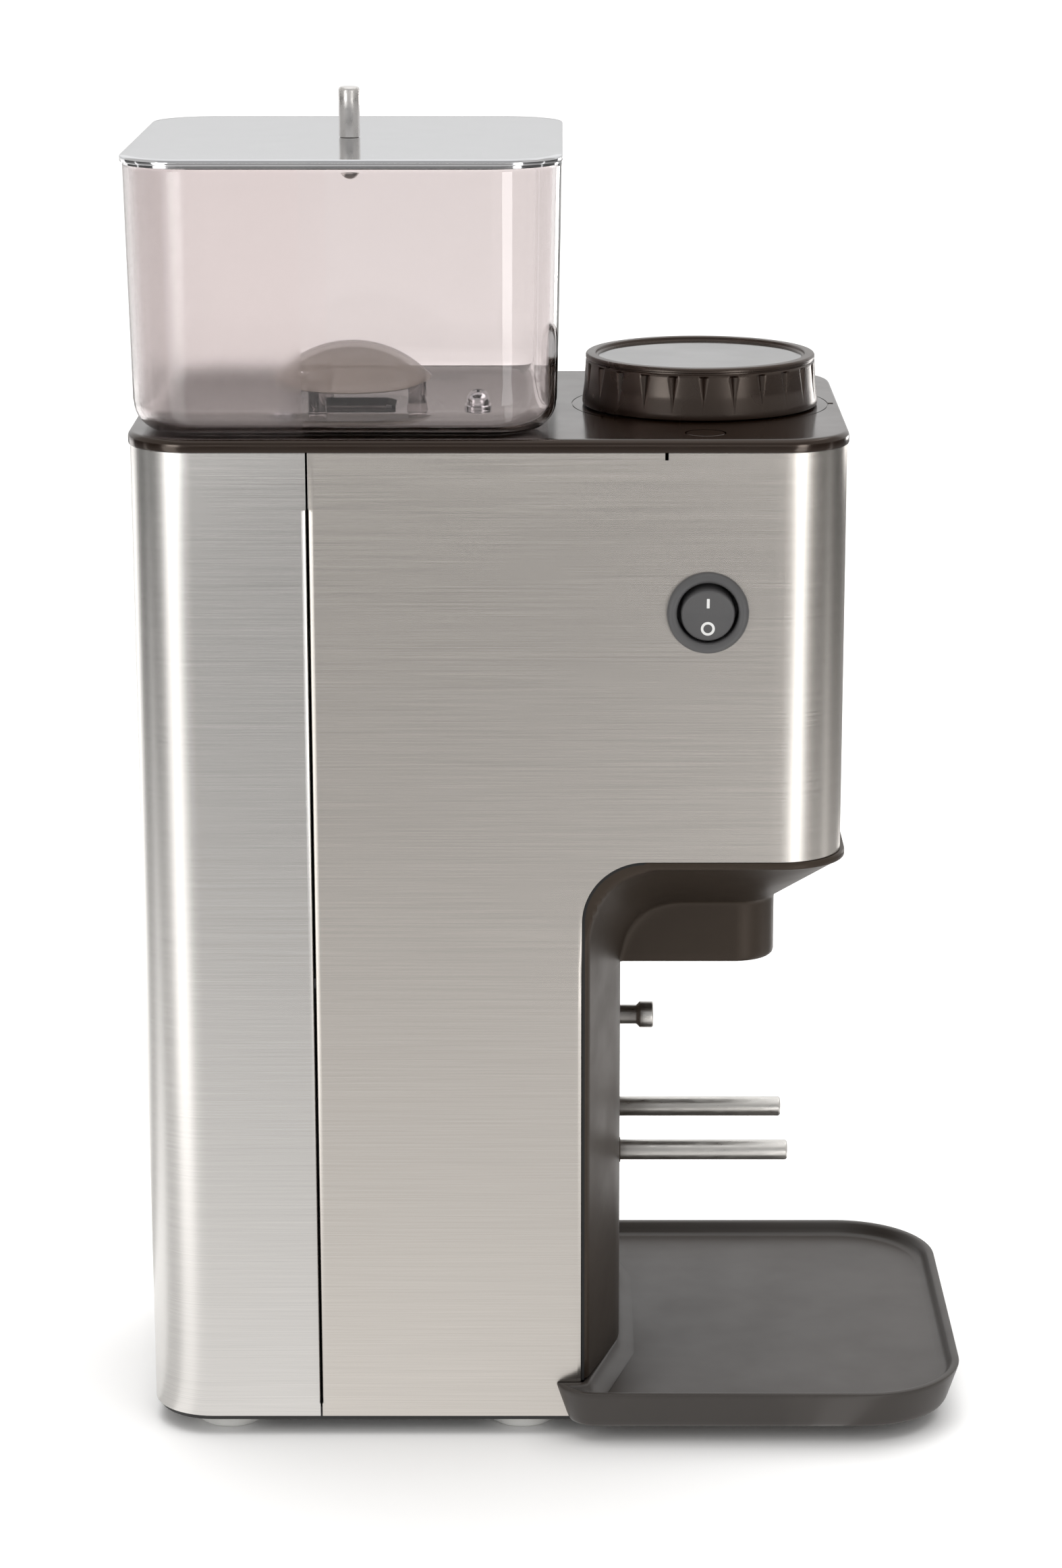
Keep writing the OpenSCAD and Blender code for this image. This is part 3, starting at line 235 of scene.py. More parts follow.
class Shader:
    """A Principled material with helpers for its textures, in object space."""

    def __init__(self, name, colour, roughness, **sockets):
        self.material = bpy.data.materials.new(name)
        self.tree, self.out = nodes_of(self.material)
        self.bsdf = self.new("ShaderNodeBsdfPrincipled")
        self.colour = colour
        self.bsdf.inputs["Base Color"].default_value = (*colour, 1)
        self.bsdf.inputs["Roughness"].default_value = roughness
        for key, value in sockets.items():
            self.bsdf.inputs[key.replace("_", " ")].default_value = value
        self.link(self.bsdf.outputs[0], self.out.inputs[0])
        self.bumps = []

    def new(self, kind, **settings):
        node = self.tree.nodes.new(kind)
        for key, value in settings.items():
            if hasattr(node, key):
                setattr(node, key, value)
            else:
                node.inputs[key].default_value = value
        return node

    def link(self, a, b):
        self.tree.links.new(a, b)

    def place(self, scale=(1, 1, 1)):
        """Object coordinates in millimetres, times scale."""
        coord = self.new("ShaderNodeTexCoord")
        mapping = self.new("ShaderNodeMapping")
        mapping.inputs["Scale"].default_value = [1000 * s for s in scale]
        self.link(coord.outputs["Object"], mapping.inputs["Vector"])
        return mapping.outputs[0]

    def noise(self, scale, detail=3.0, stretch=(1, 1, 1), roughness=0.55):
        node = self.new("ShaderNodeTexNoise", Scale=scale, Detail=detail, Roughness=roughness)
        self.link(self.place(stretch), node.inputs["Vector"])
        return node.outputs[0]

    def range(self, value, lo, hi, low=0.3, high=0.7):
        node = self.new("ShaderNodeMapRange")
        for key, number in (("From Min", low), ("From Max", high), ("To Min", lo), ("To Max", hi)):
            node.inputs[key].default_value = number
        self.link(value, node.inputs["Value"])
        return node.outputs[0]

    def tones(self, value, dark, light, low=0.3, high=0.7):
        ramp = self.new("ShaderNodeValToRGB")
        ramp.color_ramp.elements[0].position = low
        ramp.color_ramp.elements[1].position = high
        ramp.color_ramp.elements[0].color = (*dark, 1)
        ramp.color_ramp.elements[1].color = (*light, 1)
        self.link(value, ramp.inputs[0])
        self.link(ramp.outputs[0], self.bsdf.inputs["Base Color"])

    def vary(self, value, share):
        dark, light = ([min(1, c * (1 + part)) for c in self.colour] for part in (-share, share))
        self.tones(value, dark, light)

    def roughness(self, value, lo, hi):
        self.link(self.range(value, lo, hi), self.bsdf.inputs["Roughness"])

    def bump(self, value, strength, height_mm):
        node = self.new("ShaderNodeBump", Strength=strength, Distance=height_mm * MM)
        self.link(value, node.inputs["Height"])
        if self.bumps:
            self.link(self.bumps[-1].outputs[0], node.inputs["Normal"])
        self.bumps.append(node)
        self.link(node.outputs[0], self.bsdf.inputs["Normal"])


def brushed(name, colour):
    """Steel with a level grain: the noise is drawn out along X and Y."""
    roughness, grain = 0.24, (0.02, 0.02, 6.5)
    s = Shader(name, colour, roughness, Metallic=1.0, Anisotropic=0.85)
    tangent = s.new("ShaderNodeTangent", direction_type="RADIAL", axis="Z")
    s.link(tangent.outputs[0], s.bsdf.inputs["Tangent"])
    fine = s.noise(1.0, 4, grain, 0.7)
    s.roughness(fine, roughness - 0.02, roughness + 0.03)
    s.vary(s.noise(1.0, 3, grain, 0.7), 0.07)
    s.bump(fine, 0.08, 0.003)
    return s.material


def moulded(name, colour, roughness, grain=3.0, depth=0.012, **sockets):
    s = Shader(name, colour, roughness, **sockets)
    fine = s.noise(grain, 3)
    s.roughness(s.noise(0.05, 3), roughness - 0.04, roughness + 0.05)
    s.vary(s.noise(0.03, 4), 0.10)
    s.bump(fine, 0.6, depth)
    return s.material


def plain_metal(name, colour, roughness, grain=(0.4, 0.4, 0.4), depth=0.004, patches=0.06):
    s = Shader(name, colour, roughness, Metallic=1.0)
    wear = s.noise(1.0, 4, grain)
    s.roughness(wear, roughness * 0.75, roughness * 1.35)
    s.vary(s.noise(0.08, 3), patches)
    s.bump(wear, 0.4, depth)
    return s.material


def smoked(name, tint, frosted):
    """Clear smoked plastic, frosted behind a sharp upright line."""
    s = Shader(name, tint, 0.03, IOR=1.46)
    s.bsdf.inputs["Transmission Weight"].default_value = 1.0
    split = s.new("ShaderNodeSeparateXYZ")
    s.link(s.place(), split.inputs[0])
    edge = s.range(split.outputs[0], 1.0, 0.0, FROST_X - 0.2, FROST_X + 0.2)
    grain = s.noise(4.5, 2)
    frost = s.new("ShaderNodeMath", operation="MULTIPLY")
    s.link(edge, frost.inputs[0])
    s.link(s.range(grain, 0.06, 0.19), frost.inputs[1])
    rough = s.new("ShaderNodeMath", operation="ADD")
    rough.inputs[1].default_value = 0.03
    s.link(frost.outputs[0], rough.inputs[0])
    s.link(rough.outputs[0], s.bsdf.inputs["Roughness"])
    s.tones(edge, tint, frosted, 0.0, 1.0)
    height = s.new("ShaderNodeMath", operation="MULTIPLY")
    s.link(edge, height.inputs[0])
    s.link(grain, height.inputs[1])
    s.bump(height.outputs[0], 0.5, 0.022)
    return s.material


def silicone(name, colour):
    s = Shader(name, colour, 0.45)
    s.bsdf.inputs["Subsurface Weight"].default_value = 0.5
    s.bsdf.inputs["Subsurface Radius"].default_value = (0.004, 0.004, 0.004)
    s.bump(s.noise(1.5, 3), 0.4, 0.02)
    s.vary(s.noise(0.1, 3), 0.04)
    return s.material


def circuit(name, colour):
    s = Shader(name, colour, 0.35)
    cells = s.new("ShaderNodeTexVoronoi", feature="DISTANCE_TO_EDGE", Scale=0.35)
    s.link(s.place(), cells.inputs["Vector"])
    s.tones(cells.outputs[0], [c * 0.55 for c in colour], colour, 0.02, 0.06)
    s.bump(cells.outputs[0], 0.4, 0.05)
    return s.material


MATERIALS = {
    "front_steel": brushed("front_steel", (0.66, 0.625, 0.585)),
    "rear_steel": brushed("rear_steel", (0.70, 0.685, 0.665)),
    "zinc_steel": plain_metal("zinc_steel", (0.60, 0.61, 0.63), 0.35),
    "bearing_steel": plain_metal("bearing_steel", (0.70, 0.70, 0.72), 0.15),
    "burr_steel": plain_metal("burr_steel", (0.45, 0.45, 0.46), 0.35),
    "rod_steel": plain_metal("rod_steel", (0.74, 0.72, 0.69), 0.34, (0.2, 1.2, 1.2), 0.0015),
    "screw_chrome": plain_metal("screw_chrome", (0.70, 0.68, 0.66), 0.30, (0.4, 0.4, 0.4), 0.0015),
    "lid_metal": plain_metal("lid_metal", (0.70, 0.705, 0.72), 0.10, (1.5, 1.5, 1.5), 0.0008, 0.02),
    "top_plastic": moulded("top_plastic", (0.009, 0.004, 0.002), 0.17, 2.5, 0.004,
                            IOR=1.62, Specular_Tint=WARM),
    "trim_plastic": moulded("trim_plastic", (0.028, 0.020, 0.014), 0.40, 3.5, 0.020,
                             Specular_IOR_Level=0.38, Specular_Tint=WARM),
    "tray_plastic": moulded("tray_plastic", (0.036, 0.030, 0.026), 0.37, 3.5, 0.012),
    "knob_plastic": moulded("knob_plastic", (0.016, 0.008, 0.005), 0.27, 3.0, 0.018,
                             Specular_IOR_Level=0.75, Specular_Tint=WARM),
    "knob_disc": moulded("knob_disc", (0.03, 0.027, 0.025), 0.06, 2.0, 0.002, Coat_Weight=0.25),
    "switch_plastic": moulded("switch_plastic", (0.078, 0.077, 0.079), 0.45, 3.5, 0.05),
    "black_plastic": moulded("black_plastic", (0.018, 0.018, 0.018), 0.5, 3.0, 0.03),
    "milky_plastic": moulded("milky_plastic", (0.75, 0.74, 0.70), 0.4, 2.0, 0.02),
    "milky_rubber": silicone("milky_rubber", (0.80, 0.80, 0.78)),
    "circuit_board": circuit("circuit_board", (0.02, 0.14, 0.06)),
    "magnet": moulded("magnet", (0.04, 0.04, 0.042), 0.55, 1.5, 0.05),
    "winding": plain_metal("winding", (0.62, 0.30, 0.14), 0.35, (0.2, 0.2, 2.0), 0.05),
    "gear_brass": plain_metal("gear_brass", (0.72, 0.55, 0.25), 0.28),
    "smoked_plastic": smoked("smoked_plastic", (0.80, 0.757, 0.755), (0.80, 0.748, 0.745)),
}
GUARD = moulded("guard_plastic", (0.93, 0.82, 0.73), 0.10, 2.0, 0.003, Alpha=0.46)
PAINT = moulded("marking_white", (0.75, 0.75, 0.74), 0.5, 3.0, 0.01)
# A near-black colour that paints the shade in the gap between the steel's edge and the trim.
GAP_SHADE = moulded("painted_gap_shade", (0.008, 0.008, 0.008), 0.7, 3.0, 0.02)

for name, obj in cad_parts.items():
    for place in obj.material_slots:
        base = place.material.name.split(".")[0] if place.material else ""
        place.material = MATERIALS.get(base, MATERIALS["black_plastic"])

# ---------------------------------------------------------------- mesh tools


def piece(name, verts, faces, slot, body="frame", replaces=(), sharp=35, bevel=0.0, angle=35, material=None):
    """A mesh piece from millimetre points, bevelled along its sharp edges if asked."""
    mesh = bpy.data.meshes.new(name)
    mesh.from_pydata([[c * MM for c in v] for v in verts], [], faces)
    mesh.validate()
    mesh.update()
    obj = add(bpy.data.objects.new(name, mesh))
    return finish_piece(obj, slot, body, replaces, sharp, bevel, angle, material)


def finish_piece(obj, slot, body="frame", replaces=(), sharp=35, bevel=0.0, angle=35, material=None):
    mesh = obj.data
    mesh.materials.clear()
    mesh.materials.append(material or MATERIALS[slot])
    for polygon in mesh.polygons:
        polygon.use_smooth = True
        polygon.material_index = 0
    mesh.set_sharp_from_angle(angle=math.radians(sharp))
    if bevel:
        m = obj.modifiers.new("bevel", "BEVEL")
        m.width = bevel * MM
        m.segments = 3
        m.limit_method = "ANGLE"
        m.angle_limit = math.radians(angle)
        m.harden_normals = True
    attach(obj, body)
    if replaces:
        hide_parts(*replaces)
    return obj


def loft(rings, caps=(True, True), closed=False):
    """Faces that join rings of equally many points: quads between rings, and a cap at each end."""
    n = len(rings[0])
    verts = [p for ring in rings for p in ring]
    faces = []
    last = len(rings) if closed else len(rings) - 1
    for k in range(last):
        a, b = k * n, ((k + 1) % len(rings)) * n
        for i in range(n):
            j = (i + 1) % n
            faces.append([a + i, a + j, b + j, b + i])
    if not closed:
        if caps[0]:
            faces.append(list(range(n))[::-1])
        if caps[1]:
            faces.append(list(range(len(verts) - n, len(verts))))
    return verts, faces


def rounded(x0, x1, half, rear_r, front_r, steps=12):
    """An anticlockwise rectangle with rounded corners, from the front right round to the rear right."""
    front, rear = (x1 - front_r, half - front_r, front_r), (x0 + rear_r, half - rear_r, rear_r)
    points = []
    for (cx, cy, r), side, start in ((front, -1, -90), (front, 1, 0), (rear, 1, 90), (rear, -1, 180)):
        for k in range(steps + 1):
            a = math.radians(start + 90 * k / steps)
            points.append((cx + r * math.cos(a), side * cy + r * math.sin(a)))
    return points


def stack(outline, profile):
    """Rings of outline(d) at height z for each (d, z)."""
    return [[(x, y, z) for x, y in outline(d)] for d, z in profile]


def arc(cx, cz, r, a0, a1, steps):
    return [(cx + r * math.cos(math.radians(a0 + (a1 - a0) * k / steps)),
             cz + r * math.sin(math.radians(a0 + (a1 - a0) * k / steps))) for k in range(steps + 1)]


def lathe(profile, steps=64, place=None, radius=None):
    """Rings of (r, z) turned about Z, then moved by place. radius(r, z, a) may shape each point."""
    rings = []
    for r, z in profile:
        ring = []
        for k in range(steps):
            a = 2 * math.pi * k / steps
            rr = radius(r, z, a) if radius else r
            p = (rr * math.cos(a), rr * math.sin(a), z)
            ring.append(tuple(place @ Vector(p)) if place else p)
        rings.append(ring)
    return rings


def turned(name, profile, place, slot, body="frame", replaces=(), steps=64, sharp=40, closed=False,
           material=None):
    """A piece turned from a profile of (r, z), then moved by place."""
    verts, faces = loft(lathe(profile, steps, place), closed=closed)
    piece(name, verts, faces, slot, body, replaces, sharp, material=material)


def boolean(obj, cutters):
    """The object's mesh with closed cutters taken out, as a new plain mesh."""
    for cutter in cutters:
        m = obj.modifiers.new("cut", "BOOLEAN")
        m.operation = "DIFFERENCE"
        m.solver = "EXACT"
        m.object = cutter
    flat = bpy.data.meshes.new_from_object(obj.evaluated_get(bpy.context.evaluated_depsgraph_get()))
    obj.modifiers.clear()
    obj.data = flat
    for cutter in cutters:
        bpy.data.objects.remove(cutter)
    return obj


def raw(name, verts, faces):
    mesh = bpy.data.meshes.new(name)
    mesh.from_pydata([[c * MM for c in v] for v in verts], [], faces)
    mesh.update()
    return add(bpy.data.objects.new(name, mesh))


def at(x, y, z, axis="Z"):
    turn = {"Z": Matrix(), "X": Matrix.Rotation(math.radians(90), 4, "Y"),
            "-Y": Matrix.Rotation(math.radians(90), 4, "X")}[axis]
    return Matrix.Translation((x, y, z)) @ turn


def rod(name, radius, length, place, steps=48):
    return raw(name, *loft(lathe([(radius, 0), (radius, length)], steps, place)))


def block(name, lo, hi):
    (x0, y0, z0), (x1, y1, z1) = lo, hi
    ring = [(x0, y0), (x1, y0), (x1, y1), (x0, y1)]
    return raw(name, *loft([[(x, y, z0) for x, y in ring], [(x, y, z1) for x, y in ring]]))

# ---------------------------------------------------------------- the two steel covers

(REAR_X, _, BODY_Z0), (_, HALF_W, BODY_Z1) = mm_box("rear_cover")
FRONT_X = mm_box("front_cover")[1][0]
CORNER_R = 18.5
SHEET = 1.0
CUT_R = 18.0
HEAD_Z = mm_box("front_trim")[1][2] - 4.7
COL_X = 7.2
# The edge beside the seam is bent inward between these heights: (distance from the seam, inset) pairs.
HEM_FOOT, HEM_TOP = BODY_Z0 + 4, BODY_Z1 - 16
ROLL = ((0.0, 1.6), (0.05, 0.75), (0.25, 0.42), (1.25, 0.0), (1.6, 0.0))


def corner_path(toward, x_corner):
    cx = x_corner - toward * CORNER_R
    return [(cx + toward * CORNER_R * math.sin(a), -HALF_W + CORNER_R - CORNER_R * math.cos(a))
            for a in np.radians(np.linspace(0, 90, 15))]


def edge_columns(x_seam, toward, rows):
    """The columns beside the seam, from the edge inward."""
    return [[(x_seam + toward * t, -HALF_W + (inset if HEM_FOOT <= z <= HEM_TOP else 0), z) for z in rows]
            for t, inset in ROLL]


def seam_rows(z0, z1, n):
    """Heights from z0 to z1 with close pairs where the rolled edge starts and ends."""
    rows = list(np.linspace(z0, z1, n)) + [HEM_FOOT + d for d in (-0.5, -0.1, 0.1, 0.5)]
    rows += [HEM_TOP + d for d in (-0.6, -0.1, 0.1, 0.5)]
    return sorted(z for z in set(rows) if z0 <= z <= z1)


def sheet_mesh(columns):
    """Quads over columns of points that share their upper rows; a longer column adds rows below."""
    verts, faces, index = [], [], []
    for column in columns:
        index.append(list(range(len(verts), len(verts) + len(column))))
        verts += column
    for a, b in zip(index, index[1:]):
        n = min(len(a), len(b))
        a, b = a[-n:], b[-n:]
        for k in range(n - 1):
            faces.append([a[k], b[k], b[k + 1], a[k + 1]])
    return verts, faces


def solid_sheet(obj, thickness):
    m = obj.modifiers.new("thickness", "SOLIDIFY")
    m.thickness = thickness * MM
    m.offset = -1
    m.use_even_offset = True
    return obj


def rear_cover():
    seam = mm_box("rear_cover")[1][0]
    rows = seam_rows(BODY_Z0, BODY_Z1, 30)
    half = edge_columns(seam, -1, rows) + [[(x, y, z) for z in rows] for x, y in corner_path(-1, REAR_X)]
    middle = [[(REAR_X, y, z) for z in rows] for y in (-30, -10, 10, 30)]
    columns = half + middle + [[(x, -y, z) for x, y, z in c] for c in half[::-1]]
    verts, faces = sheet_mesh(columns[::-1])
    obj = solid_sheet(raw("rear_cover_sheet", verts, faces), SHEET)
    gland = mm_box("cord_gland")
    hole_z = (gland[0][2] + gland[1][2]) / 2
    boolean(obj, [rod("hole", 6.1, 6, at(REAR_X - 3, 0, hole_z, "X"))])
    finish_piece(obj, "rear_steel", replaces=["rear_cover"], bevel=0.4, angle=50)


def front_cover():
    seam = mm_box("front_cover")[0][0]
    arc_x, arc_z = COL_X + CUT_R, HEAD_Z - CUT_R
    bend = corner_path(1, FRONT_X)
    tall_x = list(np.linspace(seam + 12, COL_X - 8, 6)) + [COL_X - 3, COL_X - 1.15]
    low_x = [arc_x - CUT_R * math.cos(math.radians(a)) for a in np.linspace(0, 90, 17)][1:]
    low_x += [30, 36, 42, 48, 54, 60]
    upper = 16

    def low(x):
        if x >= arc_x:
            return HEAD_Z
        return arc_z + math.sqrt(max(0, CUT_R ** 2 - (arc_x - x) ** 2))

    def rows_of(tall, x):
        z0 = arc_z if tall else low(x)
        rows = [z0 + (BODY_Z1 - z0) * k / upper for k in range(upper + 1)]
        near = min(range(1, upper), key=lambda k: abs(rows[k] - HEM_TOP))
        rows[near - 1:near + 2] = [HEM_TOP - 0.5, HEM_TOP - 0.05, HEM_TOP + 0.3]
        return seam_rows(BODY_Z0, z0, 12)[:-1] + rows if tall else rows

    def column(x, y, tall):
        return [(x, y, z) for z in rows_of(tall, x)]

    def edge(x, inset, z_top):
        return [(x, -HALF_W + (inset if z < z_top else 0), z) for z in rows_of(True, x)]

    rows = rows_of(True, 0)
    half = edge_columns(seam, 1, rows) + [column(x, -HALF_W, True) for x in tall_x]
    half += [edge(COL_X - t, inset, arc_z - 0.5) for t, inset in ((1.05, 0.02), (0.2, 0.28), (0, 0.6))]
    half += [column(x, -HALF_W, False) for x in low_x] + [column(x, y, False) for x, y in bend]
    other = [[(x, -y, z) for x, y, z in c] for c in half[::-1]]
    middle = [column(FRONT_X, y, False) for y in (-30, -10, 10, 30)]
    verts, faces = sheet_mesh(half + middle + other)
    obj = solid_sheet(raw("front_cover_sheet", verts, faces), SHEET)
    switch_lo, switch_hi = mm_box("switch_housing")
    sx, sz = (switch_lo[0] + switch_hi[0]) / 2, (switch_lo[2] + switch_hi[2]) / 2
    boolean(obj, [rod("hole", 10.2, 8, at(sx, -HALF_W + 4, sz, "-Y")),
                  block("notch", (sx - 12.2, -HALF_W - 3, BODY_Z1 - 2), (sx - 11.2, -HALF_W + 4, BODY_Z1 + 3))])
    finish_piece(obj, "front_steel", replaces=["front_cover"], bevel=0.4, angle=50)


rear_cover()
front_cover()

# ---------------------------------------------------------------- top cover and its marks

TOP_LO, TOP_HI = mm_box("top_cover")
TOP_Z = TOP_HI[2]
KNOB_LO, KNOB_HI = mm_box("grind_knob")
KNOB_X = (KNOB_LO[0] + KNOB_HI[0]) / 2
BURR_X = sum(c[0] for c in mm_box("drive_shaft")) / 2
PLUG_LO, PLUG_HI = mm_box("index_plug")
PLUG_R, PLUG_Y = (PLUG_HI[0] - PLUG_LO[0]) / 2, (PLUG_LO[1] + PLUG_HI[1]) / 2


def top_cover():
    r, corner, well_r = 1.5, 19, 22.3

    def outline(d):
        return rounded(TOP_LO[0] + d, TOP_HI[0] - d, TOP_HI[1] - d, corner - d, corner - d, 16)

    profile = [(6, BODY_Z1 + 0.05), (0.5, BODY_Z1 + 0.05), (0.12, BODY_Z1 + 0.25), (0, BODY_Z1 + 0.6)]
    profile += [(r - x, z) for x, z in arc(0, TOP_Z - r, r, 0, 90, 6)]
    profile += [(3, TOP_Z), (5, TOP_Z)]
    obj = raw("top_cover_shell", *loft(stack(outline, profile)))
    ring = [(36.95, TOP_Z - 0.25), (37.25, TOP_Z - 0.25), (37.35, TOP_Z + 1), (36.85, TOP_Z + 1)]
    groove = raw("groove", *loft(lathe(ring, 128, at(KNOB_X, 0, 0)), closed=True))
    well = raw("well", *loft(lathe([(well_r, TOP_Z - 12), (well_r, TOP_Z + 2)], 96, at(BURR_X, 0, 0))))
    seat = rod("seat", PLUG_R + 0.35, 4, at(KNOB_X, PLUG_Y, TOP_Z - 1.6))
    boolean(obj, [groove, well, seat])
    finish_piece(obj, "top_plastic", replaces=["top_cover"], sharp=25)


def index_line():
    x0, x1 = KNOB_HI[0] + 2.4, TOP_HI[0] - 1.7
    verts, faces = loft([[(x, y, z) for x, y in ((x0, -0.25), (x1, -0.25), (x1, 0.25), (x0, 0.25))]
                         for z in (TOP_Z - 0.2, TOP_Z + 0.2)])
    piece("knob_index_line", verts, faces, "top_plastic", bevel=0.15)


def index_plug():
    profile = [(0.4, TOP_Z - 1.5), (PLUG_R, TOP_Z - 1.5)] + arc(PLUG_R - 0.35, TOP_Z - 0.35, 0.35, 0, 90, 4)
    profile += [(PLUG_R - 1.2, TOP_Z - 0.05), (0.4, TOP_Z - 0.12)]
    turned("index_plug_disc", profile, at(KNOB_X, PLUG_Y, 0), "top_plastic", replaces=["index_plug"], sharp=30)


top_cover()
index_line()
index_plug()

# ---------------------------------------------------------------- grind knob


def grind_knob():
    flutes = 24
    lift, top = KNOB_LO[2], KNOB_HI[2]
    skirt_r, rim_r = (KNOB_HI[0] - KNOB_LO[0]) / 2 - 0.7, 33.0
    flute_top, skirt_top = top - 2.2, lift + 5.6

    def shape(r, z, a):
        """The radius with the flutes cut in: each narrows downward, with shallow sides and a steep middle."""
        phase = (a * flutes / (2 * math.pi) + 0.5) % 1 - 0.5
        across = abs(phase) * 2 * math.pi * rim_r / flutes
        t = (flute_top - z) / (top - lift - 6.0)
        if t < 0 or t > 1 or r < rim_r - 1:
            return r
        half = 1.7 * (1 - t) + 0.1
        start = min(1, (flute_top - z) / 0.5)
        u = across / half
        if u < 1:
            return r - start * half * (0.33 * min(1 - u, 0.45) + 0.9 * max(0.55 - u, 0))
        return r

    outer = [(rim_r - 2.6, lift), (skirt_r - 0.6, lift), (skirt_r - 0.1, lift + 0.25), (skirt_r, lift + 0.8),
             (skirt_r - 0.1, lift + 2.2), (skirt_r - 0.4, lift + 4.2), (rim_r + 0.55, skirt_top)]
    outer += [(rim_r + 0.5 - 0.4 * k / 12, skirt_top + (flute_top - skirt_top) * k / 12) for k in range(1, 13)]
    rim = [(0.02, 2.0), (-0.25, 1.75), (-0.25, 1.45), (0.1, 1.2)]
    rim += [(0.7 * math.cos(a) - 0.6, 0.7 - 0.7 * math.sin(a)) for a in np.linspace(-0.3, math.pi / 2, 6)]
    rim += [(-2.4, 0), (-2.75, 0.2), (-2.9, 0.7), (-3.6, 0.85), (-3.75, 1.1), (-3.8, 3.2), (-2.6, 5.5)]
    outer += [(rim_r + out, top - down) for out, down in rim]
    rings = lathe(outer, flutes * 40, at(KNOB_X, 0, 0), shape)
    piece("grind_knob_grip", *loft(rings, closed=True), "knob_plastic", "knob", ["grind_knob"], sharp=20)


def knob_disc():
    lo, hi = mm_box("knob_cap")
    r, z = (hi[0] - lo[0]) / 2 - 0.55, hi[2]
    profile = [(0.5, z - 1.4), (r, z - 1.4)] + arc(r - 0.25, z - 0.25, 0.25, 0, 90, 4) + [(r - 2, z), (0.5, z)]
    turned("knob_disc_face", profile, at(KNOB_X, 0, 0), "knob_disc", "knob", ["knob_cap"], steps=128)


grind_knob()
knob_disc()

# ---------------------------------------------------------------- hopper, guard and lid

HOP_LO, HOP_HI = mm_box("hopper")


def hopper():
    wall, floor_t, spigot, throat = 2.5, 2.2, 22.0, 15.5
    corner, edge = 21.5, 8.0
    spigot_z, z0, z1 = HOP_LO[2], TOP_Z + 0.02, HOP_HI[2]
    quarter = np.radians(np.linspace(0, 90, 10))

    def outline(d):
        return rounded(HOP_LO[0] + d, HOP_HI[0] - d, HOP_HI[1] - d, corner - d, corner - d, 16)

    def taper(z):
        return 1.5 * (z1 - z) / (z1 - z0)

    rows = (z0 + edge + 0.5, *np.linspace(z0 + edge + 8, z1 - 4, 7), z1 - 0.9, z1 - 0.5)
    outer = [(taper(z0) + edge - edge * math.cos(a), z0 + edge - edge * math.sin(a)) for a in quarter[::-1]]
    outer += [(taper(z), z) for z in rows] + [(0.15, z1 - 0.12), (0.5, z1)]
    fillet = edge - wall
    inner = [(wall - 0.4, z1), (wall, z1 - 0.4)]
    inner += [(taper(z) + wall, z) for z in np.linspace(z1 - 3, z0 + edge + 6, 8)]
    base = z0 + floor_t
    inner += [(taper(base) + wall + fillet - fillet * math.cos(a), base + fillet - fillet * math.sin(a))
              for a in quarter]
    rings = stack(outline, outer) + stack(outline, inner)
    turns = [math.atan2(y, x - BURR_X) for x, y in outline(10)]
    rings += [[(BURR_X + r * math.cos(a), r * math.sin(a), z) for a in turns] for r, z in
              ((38, base), (throat + 0.8, base), (throat, base - 0.8), (throat, spigot_z + 0.3),
               (throat + 0.4, spigot_z), (spigot - 0.4, spigot_z), (spigot, spigot_z + 0.4), (spigot, z0 - 0.3),
               (spigot + 0.3, z0), (42, z0))]
    piece("hopper_shell", *loft(rings, closed=True), "smoked_plastic", replaces=["hopper"], sharp=40)


def bean_guard():
    lo, hi = mm_box("bean_guard")
    r, rim, apex, t = (hi[0] - lo[0]) / 2, lo[2] + 6, hi[2], 2.0
    legs_r = 18.7
    rise = apex - rim
    ball = (r * r + rise * rise) / (2 * rise)
    top_a = math.asin(r / ball)

    def shell(radius, angles):
        return [(radius * math.sin(a), apex - ball + radius * math.cos(a)) for a in angles]

    outer = shell(ball, np.linspace(0.01, top_a, 18))
    inner = shell(ball - t, np.linspace(top_a * 0.98, 0.01, 18))
    lip = [(r + 0.25, rim + 0.1), (r + 0.3, rim - 0.5), (r - 0.2, rim - 0.8), (r - 1.6, rim - 0.6)]
    turned("bean_guard_dome", outer[:-1] + lip + inner, at(BURR_X, 0, 0), "smoked_plastic",
           replaces=["bean_guard"], steps=96, sharp=50, material=GUARD)
    for k in range(3):
        a = math.radians(120 * k)
        p = at(BURR_X + legs_r * math.cos(a), legs_r * math.sin(a), 0)
        leg = [(3.1, lo[2]), (2.9, lo[2] + 0.8), (2.6, lo[2] + 1.6), (2.6, rim + 0.6)]
        turned(f"bean_guard_leg_{k}", leg, p, "smoked_plastic", steps=40)


def lid():
    lo, hi = mm_box("hopper_lid")
    corner = 17.5

    def outline(d):
        return rounded(lo[0] + d, hi[0] - d, hi[1] - d, corner - d, corner - d, 16)

    z0, z1 = lo[2], hi[2]
    profile = [(1.5, z0), (0.9, z0), (0.85, z0 + 0.7), (0.12, z0 + 0.75), (0, z0 + 0.9)]
    profile += [(0, z1 - 0.3), (0.1, z1 - 0.1), (0.3, z1), (2.5, z1)]
    piece("lid_plate", *loft(stack(outline, profile)), "lid_metal", "lid", ["hopper_lid"], sharp=50)


